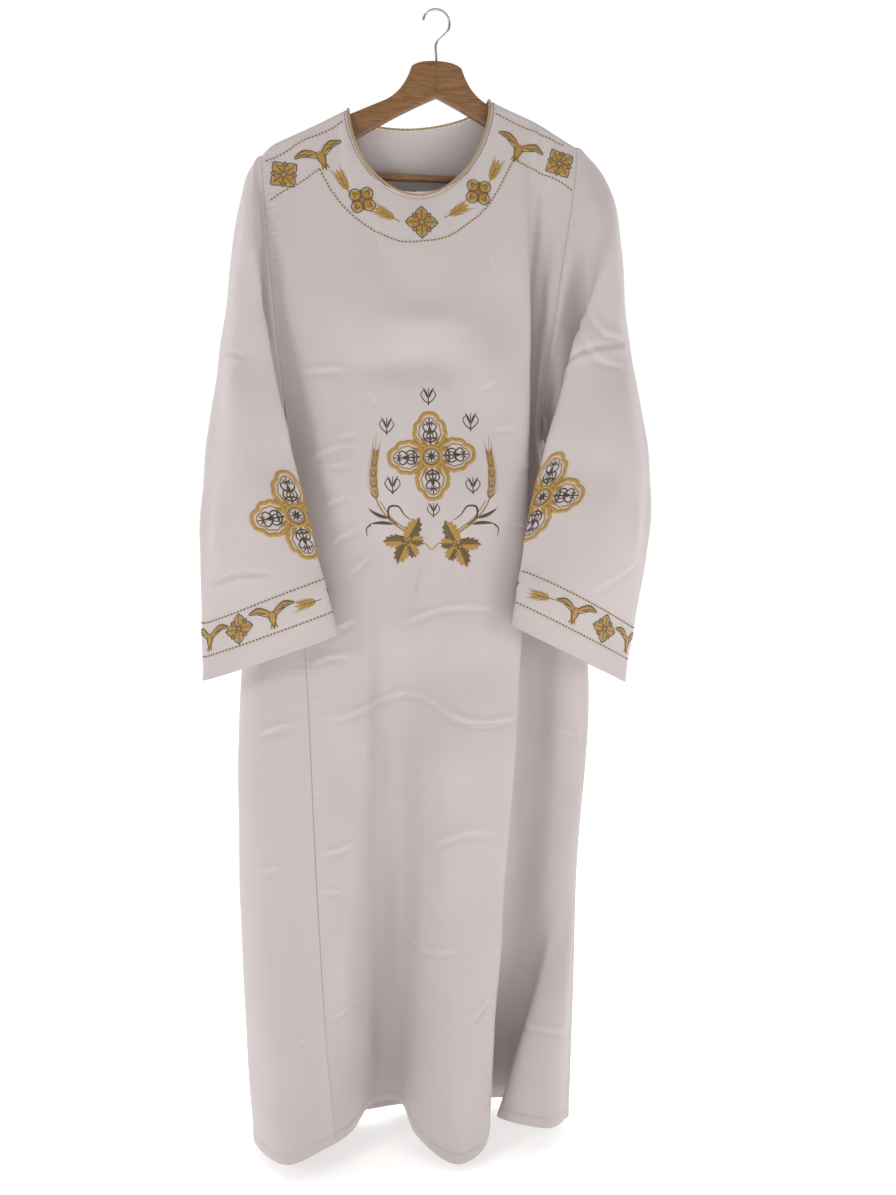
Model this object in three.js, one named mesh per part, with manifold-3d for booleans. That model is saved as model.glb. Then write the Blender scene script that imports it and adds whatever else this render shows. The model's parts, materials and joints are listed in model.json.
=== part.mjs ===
// A deacon's tunic of white cloth, hung on its wooden hanger. Millimetres, +Z up, the front faces -Y.
// The origin is the inside top of the hanger's hook, where a rail would carry it.
import * as THREE from 'three';
import { mergeVertices } from 'three/addons/utils/BufferGeometryUtils.js';
import Module from 'manifold-3d';

const wasm = await Module();
wasm.setup();

// ---------------------------------------------------------------- driving dimensions
const CLOTH = 1.4;             // wall of the cloth
const SEAM = 0.35;             // gap between two pieces at a seam

const HOOK_WIRE = 3.6;         // diameter of the hook's steel wire
const HOOK_RADIUS = 19;        // centre line of the hook's bend
const HOOK_TURN = 220;         // degrees from the hook's tip round to its shank
const SHANK_DEPTH = 24;        // length of the shank inside the wood

const WOOD_TOP = -70;          // top of the dome, below the origin
const WOOD_THICK = 12;         // hanger, front to back
const ARM_REACH = 222;         // from the middle to the end of an arm
const DOME_HALF = 33;          // half width of the dome's flat top
const BAR_DIAMETER = 11;
const BAR_LEVEL = -233;
const BAR_REACH = 205;         // from the middle to the end of the bar

const NECK_MIDDLE = -25;       // the tunic hangs a little to one side of the hook
const NECK_HALF = 103;
const NECK_DROP = 134;         // front neckline below the shoulder's neck points
const NECK_POWER = 1.86;       // 2 is an ellipse, less is more pointed
const NECK_CROWDING = 0.85;    // how closely points crowd at the arms, where the neckline turns over them
const NECK_FORWARD = 30;       // how far the front neckline stands in front of the arms
const BACK_NECK_DROP = 30;
const BACK_NECK_BEHIND = 22;
const TIP_LEFT = -246;         // outer ends of the shoulder seams
const TIP_RIGHT = 203;
const OVER_ARM = 10;           // radius of the cloth's turn over an arm
const BINDING_DIAMETER = 3.8;
const BINDING_LIFT = 1.2;      // how far the cord stands out from the cloth's edge

const table = (columns, rows) => (
  rows.map((row) => Object.fromEntries(columns.map((name, i) => [name, row[i]]))));

// Levels of the body, from the hem up, as heights and as places between hem (0) and top (1).
const LEVELS = [
  { name: 'hem', z: null, v: 0 },
  { name: 'shin', z: -1460, v: 0.12 },
  { name: 'knee', z: -1270, v: 0.25 },
  { name: 'waist', z: -900, v: 0.5 },
  { name: 'chest', z: -610, v: 0.69 },
  { name: 'bust', z: -410, v: 0.83 },
];
const UNDERARM = 0.69;         // where the side seam ends and the armhole begins
const SEAM_STRIP = 0.12;       // share of the back's width that is drawn to each side seam
// Rows of the turn over the arm, or of the strip along the neckline, and how far each has turned.
const TURN_ROWS = table(['v', 'turned'], [[0.982, 1], [0.988, 2 / 3], [0.994, 1 / 3], [1, 0]]);
const NECK_STRIP = 11;         // width of that strip along the neckline

// One row for each fold, from the left seam to the right one. u is its place across the panel. top is where it
// ends: 0 to 1 is the left shoulder, 1 to 2 the neckline, 2 to 3 the right shoulder. Then x, y and z at the hem,
// and x and y at each level above it.
const FOLD_COLUMNS = ['fold', 'u', 'top', 'hem', 'shin', 'knee', 'waist', 'chest', 'bust'];
const FRONT_FOLDS = table(FOLD_COLUMNS, [
  ['seam_left', 0.00, 0.00, [-158, -62, -1618], [-170, -66], [-180, -64], [-195, -58], [-214, -34], [-234, -34]],
  ['left_slope', 0.07, 0.50, [-126, -18, -1619], [-134, -50], [-142, -66], [-152, -64], [-166, -54], [-192, -44]],
  ['corner', 0.14, 1.00, [-104, 28, -1613], [-108, -14], [-112, -46], [-111, -58], [-120, -58], [-148, -47]],
  ['recess_left', 0.21, 1.18, [-80, 46, -1612], [-84, 18], [-88, -14], [-86, -42], [-84, -58], [-106, -48]],
  ['recess_right', 0.28, 1.37, [-48, 44, -1615], [-52, 18], [-54, -12], [-50, -42], [-46, -57], [-62, -48]],
  ['flute_left', 0.36, 1.56, [-37, -30, -1630], [-32, -42], [-26, -54], [-16, -60], [-8, -57], [-15, -48]],
  ['flute_front', 0.44, 1.76, [14, -86, -1650], [14, -86], [16, -84], [22, -74], [30, -59], [30, -48]],
  ['flute_right', 0.51, 2.00, [58, -70, -1640], [60, -76], [64, -78], [72, -74], [76, -61], [80, -49]],
  ['edge', 0.56, 2.42, [72, -42, -1621], [78, -56], [89, -62], [111, -66], [122, -60], [126, -50]],
  ['edge_behind', 0.62, 2.50, [70, 8, -1613], [74, -4], [86, -14], [106, -20], [113, -18], [121, -20]],
  ['deep', 0.70, 2.59, [90, 48, -1613], [94, 34], [107, 22], [124, 10], [121, -3], [130, -10]],
  ['recess', 0.77, 2.68, [118, 44, -1614], [124, 30], [136, 18], [154, 5], [131, -2], [140, -12]],
  ['cone_behind', 0.83, 2.77, [112, 4, -1613], [145, 8], [166, -2], [180, -8], [138, -6], [148, -18]],
  ['cone_edge', 0.88, 2.84, [88, -28, -1614], [138, -20], [192, -12], [200, -12], [144, -9], [155, -24]],
  ['cone_front', 0.94, 2.92, [158, -48, -1627], [182, -36], [206, -10], [216, -9], [149, -9], [163, -29]],
  ['seam_right', 1.00, 3.00, [203, -6, -1633], [209, -2], [214, 2], [226, 0], [155, -4], [170, -32]],
]);

// The same for the back, from the right seam round to the left one, where it wraps to the front.
// top: 3 to 2 is the right shoulder, 2 to 1 the back neckline, 1 to 0 the left shoulder.
const BACK_FOLDS = table(FOLD_COLUMNS, [
  ['seam_right', 0.00, 3.00, [203, -6, -1633], [209, -2], [214, 2], [226, 0], [155, -4], [208, 28]],
  ['right_turn', 0.09, 2.66, [196, 56, -1638], [203, 54], [210, 52], [221, 42], [176, 20], [172, 30]],
  ['right_back', 0.23, 2.00, [122, 100, -1647], [126, 90], [130, 78], [138, 60], [110, 38], [104, 30]],
  ['back_hollow', 0.36, 1.75, [44, 72, -1637], [46, 70], [48, 66], [50, 54], [42, 38], [40, 30]],
  ['back_flute', 0.49, 1.48, [-22, 108, -1649], [-22, 96], [-22, 82], [-24, 62], [-22, 40], [-22, 30]],
  ['left_hollow', 0.61, 1.24, [-98, 76, -1638], [-97, 72], [-95, 68], [-92, 55], [-82, 38], [-80, 30]],
  ['left_back', 0.73, 1.00, [-176, 102, -1650], [-174, 92], [-172, 80], [-165, 60], [-145, 38], [-142, 30]],
  ['left_turn', 0.83, 0.52, [-252, 62, -1643], [-262, 60], [-266, 56], [-258, 44], [-205, 30], [-198, 30]],
  ['left_side', 0.89, 0.34, [-274, 6, -1641], [-284, 6], [-290, 6], [-279, 2], [-228, 10], [-226, 30]],
  ['left_flute', 0.95, 0.16, [-226, -74, -1637], [-240, -66], [-250, -58], [-252, -46], [-228, -16], [-248, 29]],
  ['seam_left', 1.00, 0.00, [-158, -62, -1618], [-170, -66], [-180, -64], [-195, -58], [-214, -34], [-262, 28]],
]);

// Rows of the body's grid between hem and top. The armholes and the sleeves share those from the chest up.
const LOW_ROWS = [0, 0.04, 0.08, 0.12, 0.18, 0.25, 0.33, 0.42, 0.5, 0.57, 0.63];
const ARMHOLE_ROWS = [0.69, 0.73, 0.77, 0.81, 0.845, 0.88, 0.91, 0.937, 0.956, 0.97, 0.982, 0.988, 0.994, 1];

// Places round a sleeve, counted in armhole points from the shoulder down the front and up the back.
// angle: where the line ends on the cuff's oval, from its outer corner. Then x, y, z down the line.
const SLEEVE_COLUMNS = ['line', 'at', 'angle', 'cap', 'biceps', 'elbow'];
const SLEEVE_LEFT = table(SLEEVE_COLUMNS, [
  ['overarm', 0, 0, [-266, 0, -243], [-300, -6, -455], [-327, -38, -700]],
  ['front', 3, 75, [-264, -26, -268], [-284, -58, -460], [-280, -96, -692]],
  ['fold', 6, 180, [-255, -43, -316], [-242, -76, -476], [-200, -96, -690]],
  ['tuck', 9, 214, [-254, -28, -430], [-257, -30, -550], [-214, -80, -725]],
  ['underarm', 13, 250, [-232, -36, -632], [-246, -44, -678], [-250, -70, -775]],
  ['back_low', 16, 284, [-268, 22, -470], [-288, 6, -580], [-302, -38, -765]],
  ['back_high', 21, 325, [-272, 22, -290], [-302, 20, -485], [-326, -14, -728]],
]);
const CUFF_LEFT = { outer: [-336, -58, -940], inner: [-151, -98, -875], depth: 44 };

const SLEEVE_RIGHT = table(SLEEVE_COLUMNS, [
  ['overarm', 0, 0, [246, 0, -223], [283, -6, -450], [307, -38, -700]],
  ['front', 3, 75, [240, -28, -256], [252, -58, -455], [252, -96, -692]],
  ['fold', 6, 180, [224, -43, -308], [184, -74, -480], [124, -92, -708]],
  ['tuck', 9, 214, [206, -24, -425], [192, -30, -560], [148, -76, -740]],
  ['underarm', 13, 250, [166, -22, -632], [184, -36, -682], [194, -62, -785]],
  ['back_low', 16, 284, [218, 22, -470], [248, 6, -590], [262, -38, -775]],
  ['back_high', 21, 325, [235, 22, -286], [278, 20, -485], [300, -14, -728]],
]);
const CUFF_RIGHT = { outer: [269, -58, -955], inner: [92, -100, -866], depth: 44 };

const SLEEVE_STATIONS = [0, 0.03, 0.12, 0.42, 0.74, 1];   // armhole, seam, cap, biceps, elbow, cuff
const SLEEVE_ROWS = [0, 0.03, 0.07, 0.12, 0.2, 0.29, 0.38, 0.47, 0.56, 0.65, 0.74, 0.81, 0.88, 0.94, 1];
const SEAM_STEP = 7;           // the sleeve carries on in the panel's line for this far

const WHITE_CLOTH = { color: '#ddd3cd', roughness: 0.72, metalness: 0 };
const BEIGE_CORD = { color: '#b39f83', roughness: 0.7, metalness: 0 };
const LIGHT_WOOD = { color: '#a67c52', roughness: 0.5, metalness: 0 };
const BAR_WOOD = { color: '#8f6a4a', roughness: 0.55, metalness: 0 };
const STEEL = { color: '#b8bcc0', roughness: 0.3, metalness: 1 };

// ---------------------------------------------------------------- splines
const mix = (a, b, t) => a.map((value, i) => value + (b[i] - value) * t);
const add = (a, b, scale = 1) => a.map((value, i) => value + b[i] * scale);
const cross = (a, b) => [a[1] * b[2] - a[2] * b[1], a[2] * b[0] - a[0] * b[2], a[0] * b[1] - a[1] * b[0]];
const unit = (a) => {
  const length = Math.hypot(...a) || 1;
  return a.map((value) => value / length);
};

// A smooth curve through points at uneven knots. Its slope at a knot is the parabola's through three points.
function spline(knots, points, t) {
  const last = knots.length - 1;
  const i = Math.min(last - 1, Math.max(0, knots.findIndex((knot) => knot > t + 1e-9) - 1));
  const from = t >= knots[last] ? last - 1 : i;
  const step = (k) => knots[k + 1] - knots[k];
  const slope = (k) => points[k + 1].map((value, axis) => (value - points[k][axis]) / step(k));
  const tangent = (k) => {
    if (k === 0) return slope(0);
    if (k === last) return slope(last - 1);
    return mix(slope(k - 1), slope(k), step(k - 1) / (step(k - 1) + step(k)));
  };
  const h = step(from);
  const s = (t - knots[from]) / h;
  const a = points[from];
  const b = points[from + 1];
  const ta = tangent(from);
  const tb = tangent(from + 1);
  return a.map((value, axis) => value * (1 + 2 * s) * (1 - s) ** 2 + b[axis] * s * s * (3 - 2 * s)
    + h * ta[axis] * s * (1 - s) ** 2 - h * tb[axis] * s * s * (1 - s));
}

// The same round a closed ring whose knots run from 0 to count.
function ringSpline(knots, points, count, t) {
  const wrap = 2;
  const all = [...knots.slice(-wrap).map((knot) => knot - count), ...knots,
    ...knots.slice(0, wrap).map((knot) => knot + count)];
  return spline(all, [...points.slice(-wrap), ...points, ...points.slice(0, wrap)], t);
}

function linear(knots, values, t) {
  const i = Math.min(knots.length - 2, Math.max(0, knots.findIndex((knot) => knot > t) - 1));
  const from = t >= knots[knots.length - 1] ? knots.length - 2 : i;
  return values[from] + (values[from + 1] - values[from]) * (t - knots[from]) / (knots[from + 1] - knots[from]);
}

// ---------------------------------------------------------------- the hanger's outline
// Upper and lower edges of an arm, at a distance from the middle.
const armTop = (x) => -94 - 0.445 * Math.abs(x);
const armUnder = (x) => -121 - 0.46 * Math.abs(x) - 0.0007 * x * x;
// The cloth's ridge along the shoulder: it lies on the arm near its end, bends down past it, and puffs up a
// little beside the neck.
const PUFFS = [{ x: -130, width: 30, rise: 2.5 }, { x: 145, width: 38, rise: 4.5 }];
const shoulderHeight = (x) => PUFFS.reduce(
  (height, puff) => height + puff.rise * Math.exp(-(((x - puff.x) / puff.width) ** 2)),
  -84.5 - 0.477 * Math.abs(x) - 0.02 * Math.max(0, Math.abs(x) - ARM_REACH - 3) ** 2,
);

// ---------------------------------------------------------------- the body
const NECK_LEFT = NECK_MIDDLE - NECK_HALF;
const NECK_RIGHT = NECK_MIDDLE + NECK_HALF;

// How far the yoke stands in front of the hanger's plane, or behind it, at a depth below the ridge.
function yokeStand(depth, side) {
  const round = Math.min(depth, OVER_ARM);
  const quarter = Math.sqrt(Math.max(0, round * (2 * OVER_ARM - round)));
  const [stand, drop] = side < 0 ? [NECK_FORWARD, NECK_DROP] : [BACK_NECK_BEHIND, BACK_NECK_DROP + 10];
  return side * (SEAM / 2 + quarter + Math.max(0, depth - OVER_ARM) * (stand - OVER_ARM) / (drop - OVER_ARM));
}

// A point near the top edge: place is where along it, turned goes from 0 at the edge to 1 below the turn.
// side is -1 for the front and 1 for the back.
function topPoint(place, turned, side) {
  if (place <= 1 || place >= 2) {
    const [from, to, along] = place <= 1 ? [TIP_LEFT, NECK_LEFT, place] : [NECK_RIGHT, TIP_RIGHT, place - 2];
    const x = from + (to - from) * along;
    const depth = OVER_ARM * (1 - Math.cos(turned * Math.PI / 2));
    return [x, yokeStand(depth, side), shoulderHeight(x) - depth];
  }
  const along = place - 1;
  const angle = Math.PI * (along - NECK_CROWDING * Math.sin(2 * Math.PI * along) / (2 * Math.PI));
  const across = Math.cos(angle);
  const down = Math.sin(angle) ** (2 / NECK_POWER);
  const drop = side < 0 ? NECK_DROP : BACK_NECK_DROP;
  const outward = unit([-across * drop * 0.5, 0, -Math.sin(angle) * NECK_HALF]);
  const x = NECK_MIDDLE - NECK_HALF * Math.sign(across) * Math.abs(across) ** (2 / NECK_POWER);
  const depth = drop * down;
  const ridge = shoulderHeight(NECK_LEFT) + (shoulderHeight(NECK_RIGHT) - shoulderHeight(NECK_LEFT)) * (x - NECK_LEFT)
    / (2 * NECK_HALF);
  const strip = NECK_STRIP * turned;
  const under = depth - strip * outward[2] + OVER_ARM * (1 - Math.cos(turned * Math.PI / 2)) * (1 - Math.sin(angle));
  return [x + strip * outward[0], yokeStand(under, side), ridge - under];
}

// The point of a panel at u across and v up: a spline across the folds at each level, then one up the levels.
function panelPoint(folds, side, u, v) {
  const across = folds.map((row) => row.u);
  const rows = LEVELS.map((level) => {
    const points = folds.map((row) => (level.z === null ? row[level.name] : [...row[level.name], level.z]));
    return spline(across, points, u);
  });
  const place = linear(across, folds.map((row) => row.top), u);
  const turn = TURN_ROWS.map((row) => topPoint(place, row.turned, side));
  return spline([...LEVELS.map((level) => level.v), ...TURN_ROWS.map((row) => row.v)], [...rows, ...turn], v);
}

// Places across a panel: every fold, and a number of steps between two of them.
function acrossFolds(folds, steps) {
  const places = folds.slice(1).flatMap((row, i) => (
    Array.from({ length: steps }, (_, k) => folds[i].u + (row.u - folds[i].u) * k / steps)));
  return [...places, 1];
}

// ---------------------------------------------------------------- walls
// Outward direction at each point of a grid, from its neighbours. beyond gives the point past an edge, so that two
// pieces share the direction at their seam: before and after for each row, above for each column.
function gridNormals(grid, closed, beyond) {
  const rows = grid.length;
  const columns = grid[0].length;
  const neighbour = (j, i) => {
    if (j >= rows) return beyond.above?.[i] ?? grid[rows - 1][i];
    if (j < 0) return grid[0][i];
    if (closed) return grid[j][(i + columns) % columns];
    if (i < 0) return beyond.before?.[j] ?? grid[j][0];
    if (i >= columns) return beyond.after?.[j] ?? grid[j][columns - 1];
    return grid[j][i];
  };
  return grid.map((row, j) => row.map((_, i) => {
    const along = unit(add(neighbour(j, i + 1), neighbour(j, i - 1), -1));
    const up = unit(add(neighbour(j + 1, i), neighbour(j - 1, i), -1));
    return unit(cross(along, up));
  }));
}

// A closed wall from a grid: the grid is one face, and the other lies a wall's thickness against the normals.
function clothWall(grid, closed, beyond = {}) {
  const rows = grid.length;
  const columns = grid[0].length;
  const normals = gridNormals(grid, closed, beyond);
  const inner = grid.map((row, j) => row.map((point, i) => add(point, normals[j][i], -CLOTH)));
  const positions = [...grid.flat(), ...inner.flat()].flat();
  const faces = [];
  const at = (j, i, layer) => layer * rows * columns + j * columns + (i % columns);
  const quad = (a, b, c, d) => faces.push(a, b, c, a, c, d);
  const spans = closed ? columns : columns - 1;
  for (let i = 0; i < spans; i += 1) {
    for (let j = 0; j < rows - 1; j += 1) {
      quad(at(j, i, 0), at(j, i + 1, 0), at(j + 1, i + 1, 0), at(j + 1, i, 0));
      quad(at(j, i, 1), at(j + 1, i, 1), at(j + 1, i + 1, 1), at(j, i + 1, 1));
    }
    quad(at(0, i, 0), at(0, i, 1), at(0, i + 1, 1), at(0, i + 1, 0));
    quad(at(rows - 1, i, 0), at(rows - 1, i + 1, 0), at(rows - 1, i + 1, 1), at(rows - 1, i, 1));
  }
  if (!closed) {
    for (let j = 0; j < rows - 1; j += 1) {
      quad(at(j, 0, 0), at(j + 1, 0, 0), at(j + 1, 0, 1), at(j, 0, 1));
      quad(at(j, columns - 1, 0), at(j, columns - 1, 1), at(j + 1, columns - 1, 1), at(j + 1, columns - 1, 0));
    }
  }
  const geometry = new THREE.BufferGeometry();
  geometry.setAttribute('position', new THREE.Float32BufferAttribute(positions, 3));
  geometry.setIndex(faces);
  return geometry;
}

// Both panels, as grids of points from the hem up. The back stops short of the front at the side seams.
const bodyRows = [...LOW_ROWS, ...ARMHOLE_ROWS];
const frontAcross = acrossFolds(FRONT_FOLDS, 3);
const backAcross = acrossFolds(BACK_FOLDS, 3);
const frontGrid = bodyRows.map((v) => frontAcross.map((u) => panelPoint(FRONT_FOLDS, -1, u, v)));

// Below the armholes the back's edges are drawn to the front's side seams, over a strip that fades inwards.
const backGrid = bodyRows.map((v, j) => {
  const row = backAcross.map((u) => panelPoint(BACK_FOLDS, 1, u, v));
  if (v > UNDERARM + 1e-6) return row;
  const seams = [frontGrid[j][frontAcross.length - 1], frontGrid[j][0]];
  const shift = [add(seams[0], row[0], -1), add(seams[1], row[row.length - 1], -1)];
  const near = (distance) => Math.max(0, 1 - distance / SEAM_STRIP) ** 2;
  const drawn = row.map((point, i) => (
    add(add(point, shift[0], near(backAcross[i])), shift[1], near(1 - backAcross[i]))));
  const pull = (end, next) => add(end, unit(add(next, end, -1)), SEAM);
  return [pull(drawn[0], drawn[1]), ...drawn.slice(1, -1), pull(drawn[drawn.length - 1], drawn[drawn.length - 2])];
});

// Where each column of a panel meets the top edge, and that edge's neckline.
const placesOf = (folds, across) => (
  across.map((u) => linear(folds.map((row) => row.u), folds.map((row) => row.top), u)));
const onNeckline = (place) => place > 0.999 && place < 2.001;

// What lies past the edges of a panel: the other panel's next column at the side seams, and on the shoulders
// the mirror of its own row below the ridge.
function beyondPanel(grid, folds, across, other) {
  const places = placesOf(folds, across);
  const sideRows = LOW_ROWS.length + 1;
  const below = grid[grid.length - 2];
  return {
    before: other.slice(0, sideRows).map((row) => row[row.length - 2]),
    after: other.slice(0, sideRows).map((row) => row[1]),
    above: below.map(([x, y, z], i) => (places[i] < 1.001 || places[i] > 1.999 ? [x, -y, z] : undefined)),
  };
}

// ---------------------------------------------------------------- the sleeves
// Points of an armhole from the shoulder down the front edge and up the back edge, and the way on from the cloth.
function armhole(frontColumn, backColumn, inwards) {
  const first = LOW_ROWS.length;
  const rows = ARMHOLE_ROWS.map((_, k) => first + k);
  const edgeOf = (grid, column, step) => rows.map((j) => {
    const point = grid[j][column];
    const outward = unit(add(point, grid[j][column + step], -1));
    const along = unit(add(grid[Math.min(j + 1, grid.length - 1)][column], grid[Math.max(j - 1, first)][column], -1));
    const square = outward.map((value, axis) => value - along[axis]
      * (outward[0] * along[0] + outward[1] * along[1] + outward[2] * along[2]));
    return { point, outward: unit(square) };
  });
  const front = edgeOf(frontGrid, frontColumn, inwards).reverse();
  const back = edgeOf(backGrid, backColumn, -inwards);
  const join = (a, b) => ({ point: mix(a.point, b.point, 0.5), outward: unit(add(a.outward, b.outward)) });
  const shoulder = join(front[0], back[back.length - 1]);
  const underarm = join(front[front.length - 1], back[0]);
  return [shoulder, ...front.slice(1, -1), underarm, ...back.slice(1, -1)];
}

// A point of the cuff's oval, between its outer and inner corners.
function cuffPoint(cuff, angle) {
  const turn = THREE.MathUtils.degToRad(angle);
  const middle = mix(cuff.outer, cuff.inner, 0.5);
  const half = add(cuff.outer, middle, -1);
  return add(add(middle, half, Math.cos(turn)), [0, -cuff.depth / 2, 0], Math.sin(turn));
}

// Rings from the armhole to the cuff. Each line of the table runs down one fold, and splines join the lines.
function sleeveGrid(edge, lines, cuff) {
  const count = edge.length;
  const knots = lines.map((row) => row.at);
  return SLEEVE_ROWS.map((s) => edge.map(({ point, outward }, i) => {
    const station = (name) => ringSpline(knots, lines.map((row) => row[name]), count, i);
    const angles = [...lines.map((row) => row.angle), 360];
    const stations = [add(point, outward, SEAM), add(point, outward, SEAM + SEAM_STEP),
      station('cap'), station('biceps'), station('elbow'),
      cuffPoint(cuff, linear([...knots, count], angles, i))];
    return spline(SLEEVE_STATIONS, stations, s);
  }));
}

// The sleeves' grids are their inner faces, so that a sleeve laps over the panels' edges: its rings run so that
// the wall's thickness goes outwards. This turns the ring of the right sleeve that way too.
const flipped = (grid) => grid.map((row) => [...row].reverse());

const lastFront = frontGrid[0].length - 1;
const lastBack = backGrid[0].length - 1;
const leftSleeve = sleeveGrid(armhole(0, lastBack, 1), SLEEVE_LEFT, CUFF_LEFT);
const rightSleeve = sleeveGrid(armhole(lastFront, 0, -1), SLEEVE_RIGHT, CUFF_RIGHT);

// ---------------------------------------------------------------- the neck binding
// The points of a panel's neckline, each with the way from it to the middle of the cord.
function necklinePoints(grid, folds, across, side) {
  const edge = grid[grid.length - 1];
  const turned = grid[grid.length - TURN_ROWS.length];
  return placesOf(folds, across).flatMap((place, i) => {
    if (!onNeckline(place)) return [];
    const over = Math.abs(Math.cos(Math.PI * (place - 1))) ** 6;
    const towards = unit(add(edge[i], turned[i], -1));
    const aside = unit([NECK_MIDDLE - edge[i][0], 0, 0]);
    const aim = unit(mix(towards, aside, over)).map((value) => value * (BINDING_DIAMETER / 2 + SEAM));
    return [{ edge: edge[i], away: add(aim, unit([0, side * (1 - over), 0.2 + over]), BINDING_LIFT) }];
  });
}

// A cord laid along the neckline's edge, all the way round: its path follows the panels' points and the middles
// between them.
function neckBinding() {
  const front = necklinePoints(frontGrid, FRONT_FOLDS, frontAcross, -1);
  const back = necklinePoints(backGrid, BACK_FOLDS, backAcross, 1);
  const ring = [...front, ...back.slice(1, -1)];
  const path = ring.flatMap((point, i) => {
    const next = ring[(i + 1) % ring.length];
    return [add(point.edge, point.away), add(mix(point.edge, next.edge, 0.5), mix(point.away, next.away, 0.5))];
  });
  const curve = new THREE.CatmullRomCurve3(path.map((point) => new THREE.Vector3(...point)), true);
  return new THREE.TubeGeometry(curve, 84, BINDING_DIAMETER / 2, 6, true);
}

// ---------------------------------------------------------------- the hanger
// A closed mesh as a solid for cutting, and back again.
function solidOf(geometry) {
  const bare = geometry.clone();
  Object.keys(bare.attributes).filter((name) => name !== 'position').forEach((name) => bare.deleteAttribute(name));
  const merged = mergeVertices(bare, 1e-4);
  return new wasm.Manifold(new wasm.Mesh({
    numProp: 3,
    vertProperties: new Float32Array(merged.attributes.position.array),
    triVerts: new Uint32Array(merged.index.array),
  }));
}
function geometryOf(solid) {
  const mesh = solid.getMesh();
  const geometry = new THREE.BufferGeometry();
  geometry.setAttribute('position', new THREE.Float32BufferAttribute(mesh.vertProperties, 3));
  geometry.setIndex(Array.from(mesh.triVerts));
  return geometry;
}

// One arm: dome, sloping arm and rounded end in outline, bored for half the shank and for the bar's end.
function hangerArm(side) {
  const outline = new THREE.Shape();
  const joint = SEAM / 2;
  outline.moveTo(joint, WOOD_TOP);
  outline.quadraticCurveTo(DOME_HALF * 0.8, WOOD_TOP, DOME_HALF + 3, WOOD_TOP - 9);
  outline.quadraticCurveTo(46, -112, 72, armTop(72));
  for (let x = 100; x < ARM_REACH - 10; x += 30) outline.lineTo(x, armTop(x));
  const end = ARM_REACH - 8;
  outline.lineTo(end, armTop(end));
  outline.quadraticCurveTo(ARM_REACH + 1, armTop(end) - 6, ARM_REACH, armTop(end) - 16);
  outline.quadraticCurveTo(ARM_REACH, armUnder(end) + 1, end - 6, armUnder(end - 6));
  for (let x = 190; x > 20; x -= 28) outline.lineTo(x, armUnder(x));
  outline.lineTo(joint, armUnder(joint) - 1);
  outline.closePath();
  const round = 4;
  const wood = new THREE.ExtrudeGeometry(outline, {
    depth: WOOD_THICK - 2 * round, bevelEnabled: true, bevelThickness: round, bevelSize: round, bevelOffset: -round,
    bevelSegments: 2, curveSegments: 5,
  });
  wood.translate(0, 0, round - WOOD_THICK / 2);
  wood.rotateX(Math.PI / 2);
  const bore = HOOK_WIRE / 2 + SEAM;
  const shankHole = new THREE.CylinderGeometry(bore, bore, 2 * SHANK_DEPTH + 1, 12);
  shankHole.rotateX(Math.PI / 2);
  shankHole.translate(0, 0, WOOD_TOP);
  const barHole = new THREE.CylinderGeometry(BAR_DIAMETER / 2 + SEAM, BAR_DIAMETER / 2 + SEAM, 60, 16);
  barHole.rotateZ(Math.PI / 2);
  barHole.translate(BAR_REACH - 30 + SEAM, 0, BAR_LEVEL);
  const cut = solidOf(wood).subtract(solidOf(shankHole)).subtract(solidOf(barHole));
  return geometryOf(side < 0 ? cut.mirror([1, 0, 0]) : cut);
}

function hangerBar() {
  const bar = new THREE.CylinderGeometry(BAR_DIAMETER / 2, BAR_DIAMETER / 2, 2 * BAR_REACH, 16);
  bar.rotateZ(Math.PI / 2);
  bar.translate(0, 0, BAR_LEVEL);
  return bar;
}

// The hook: a straight shank, a short bend to the side and a round crook, as one wire.
function hangerHook() {
  const radius = HOOK_WIRE / 2;
  const middle = -HOOK_RADIUS + radius;
  const shankEnd = WOOD_TOP - SHANK_DEPTH + 0.5;
  const crook = Array.from({ length: 13 }, (_, k) => {
    const angle = THREE.MathUtils.degToRad(HOOK_TURN - 50 - (HOOK_TURN * k) / 12);
    return new THREE.Vector3(HOOK_RADIUS * Math.cos(angle), 0, middle + HOOK_RADIUS * Math.sin(angle));
  });
  const path = new THREE.CatmullRomCurve3([
    ...crook,
    new THREE.Vector3(0, 0, middle - HOOK_RADIUS - 9),
    new THREE.Vector3(0, 0, WOOD_TOP + 4),
    new THREE.Vector3(0, 0, WOOD_TOP - 6),
    new THREE.Vector3(0, 0, shankEnd),
  ]);
  const wire = new THREE.Shape();
  wire.absarc(0, 0, radius, 0, 2 * Math.PI, false);
  return new THREE.ExtrudeGeometry(wire, { steps: 44, extrudePath: path, curveSegments: 5 });
}

// ---------------------------------------------------------------- the model
const tunic = new THREE.Group();
function piece(name, geometry, finish) {
  const mesh = new THREE.Mesh(geometry, new THREE.MeshStandardMaterial(finish));
  mesh.name = name;
  tunic.add(mesh);
}

const pastFront = beyondPanel(frontGrid, FRONT_FOLDS, frontAcross, backGrid);
const pastBack = beyondPanel(backGrid, BACK_FOLDS, backAcross, frontGrid);
piece('front_panel', clothWall(frontGrid, false, pastFront), WHITE_CLOTH);
piece('back_panel', clothWall(backGrid, false, pastBack), WHITE_CLOTH);
piece('sleeve_left', clothWall(leftSleeve, true), WHITE_CLOTH);
piece('sleeve_right', clothWall(flipped(rightSleeve), true), WHITE_CLOTH);
piece('neck_binding', neckBinding(), BEIGE_CORD);
piece('hanger_arm_left', hangerArm(-1), LIGHT_WOOD);
piece('hanger_arm_right', hangerArm(1), LIGHT_WOOD);
piece('hanger_bar', hangerBar(), BAR_WOOD);
piece('hanger_hook', hangerHook(), STEEL);

export default tunic;
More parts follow.
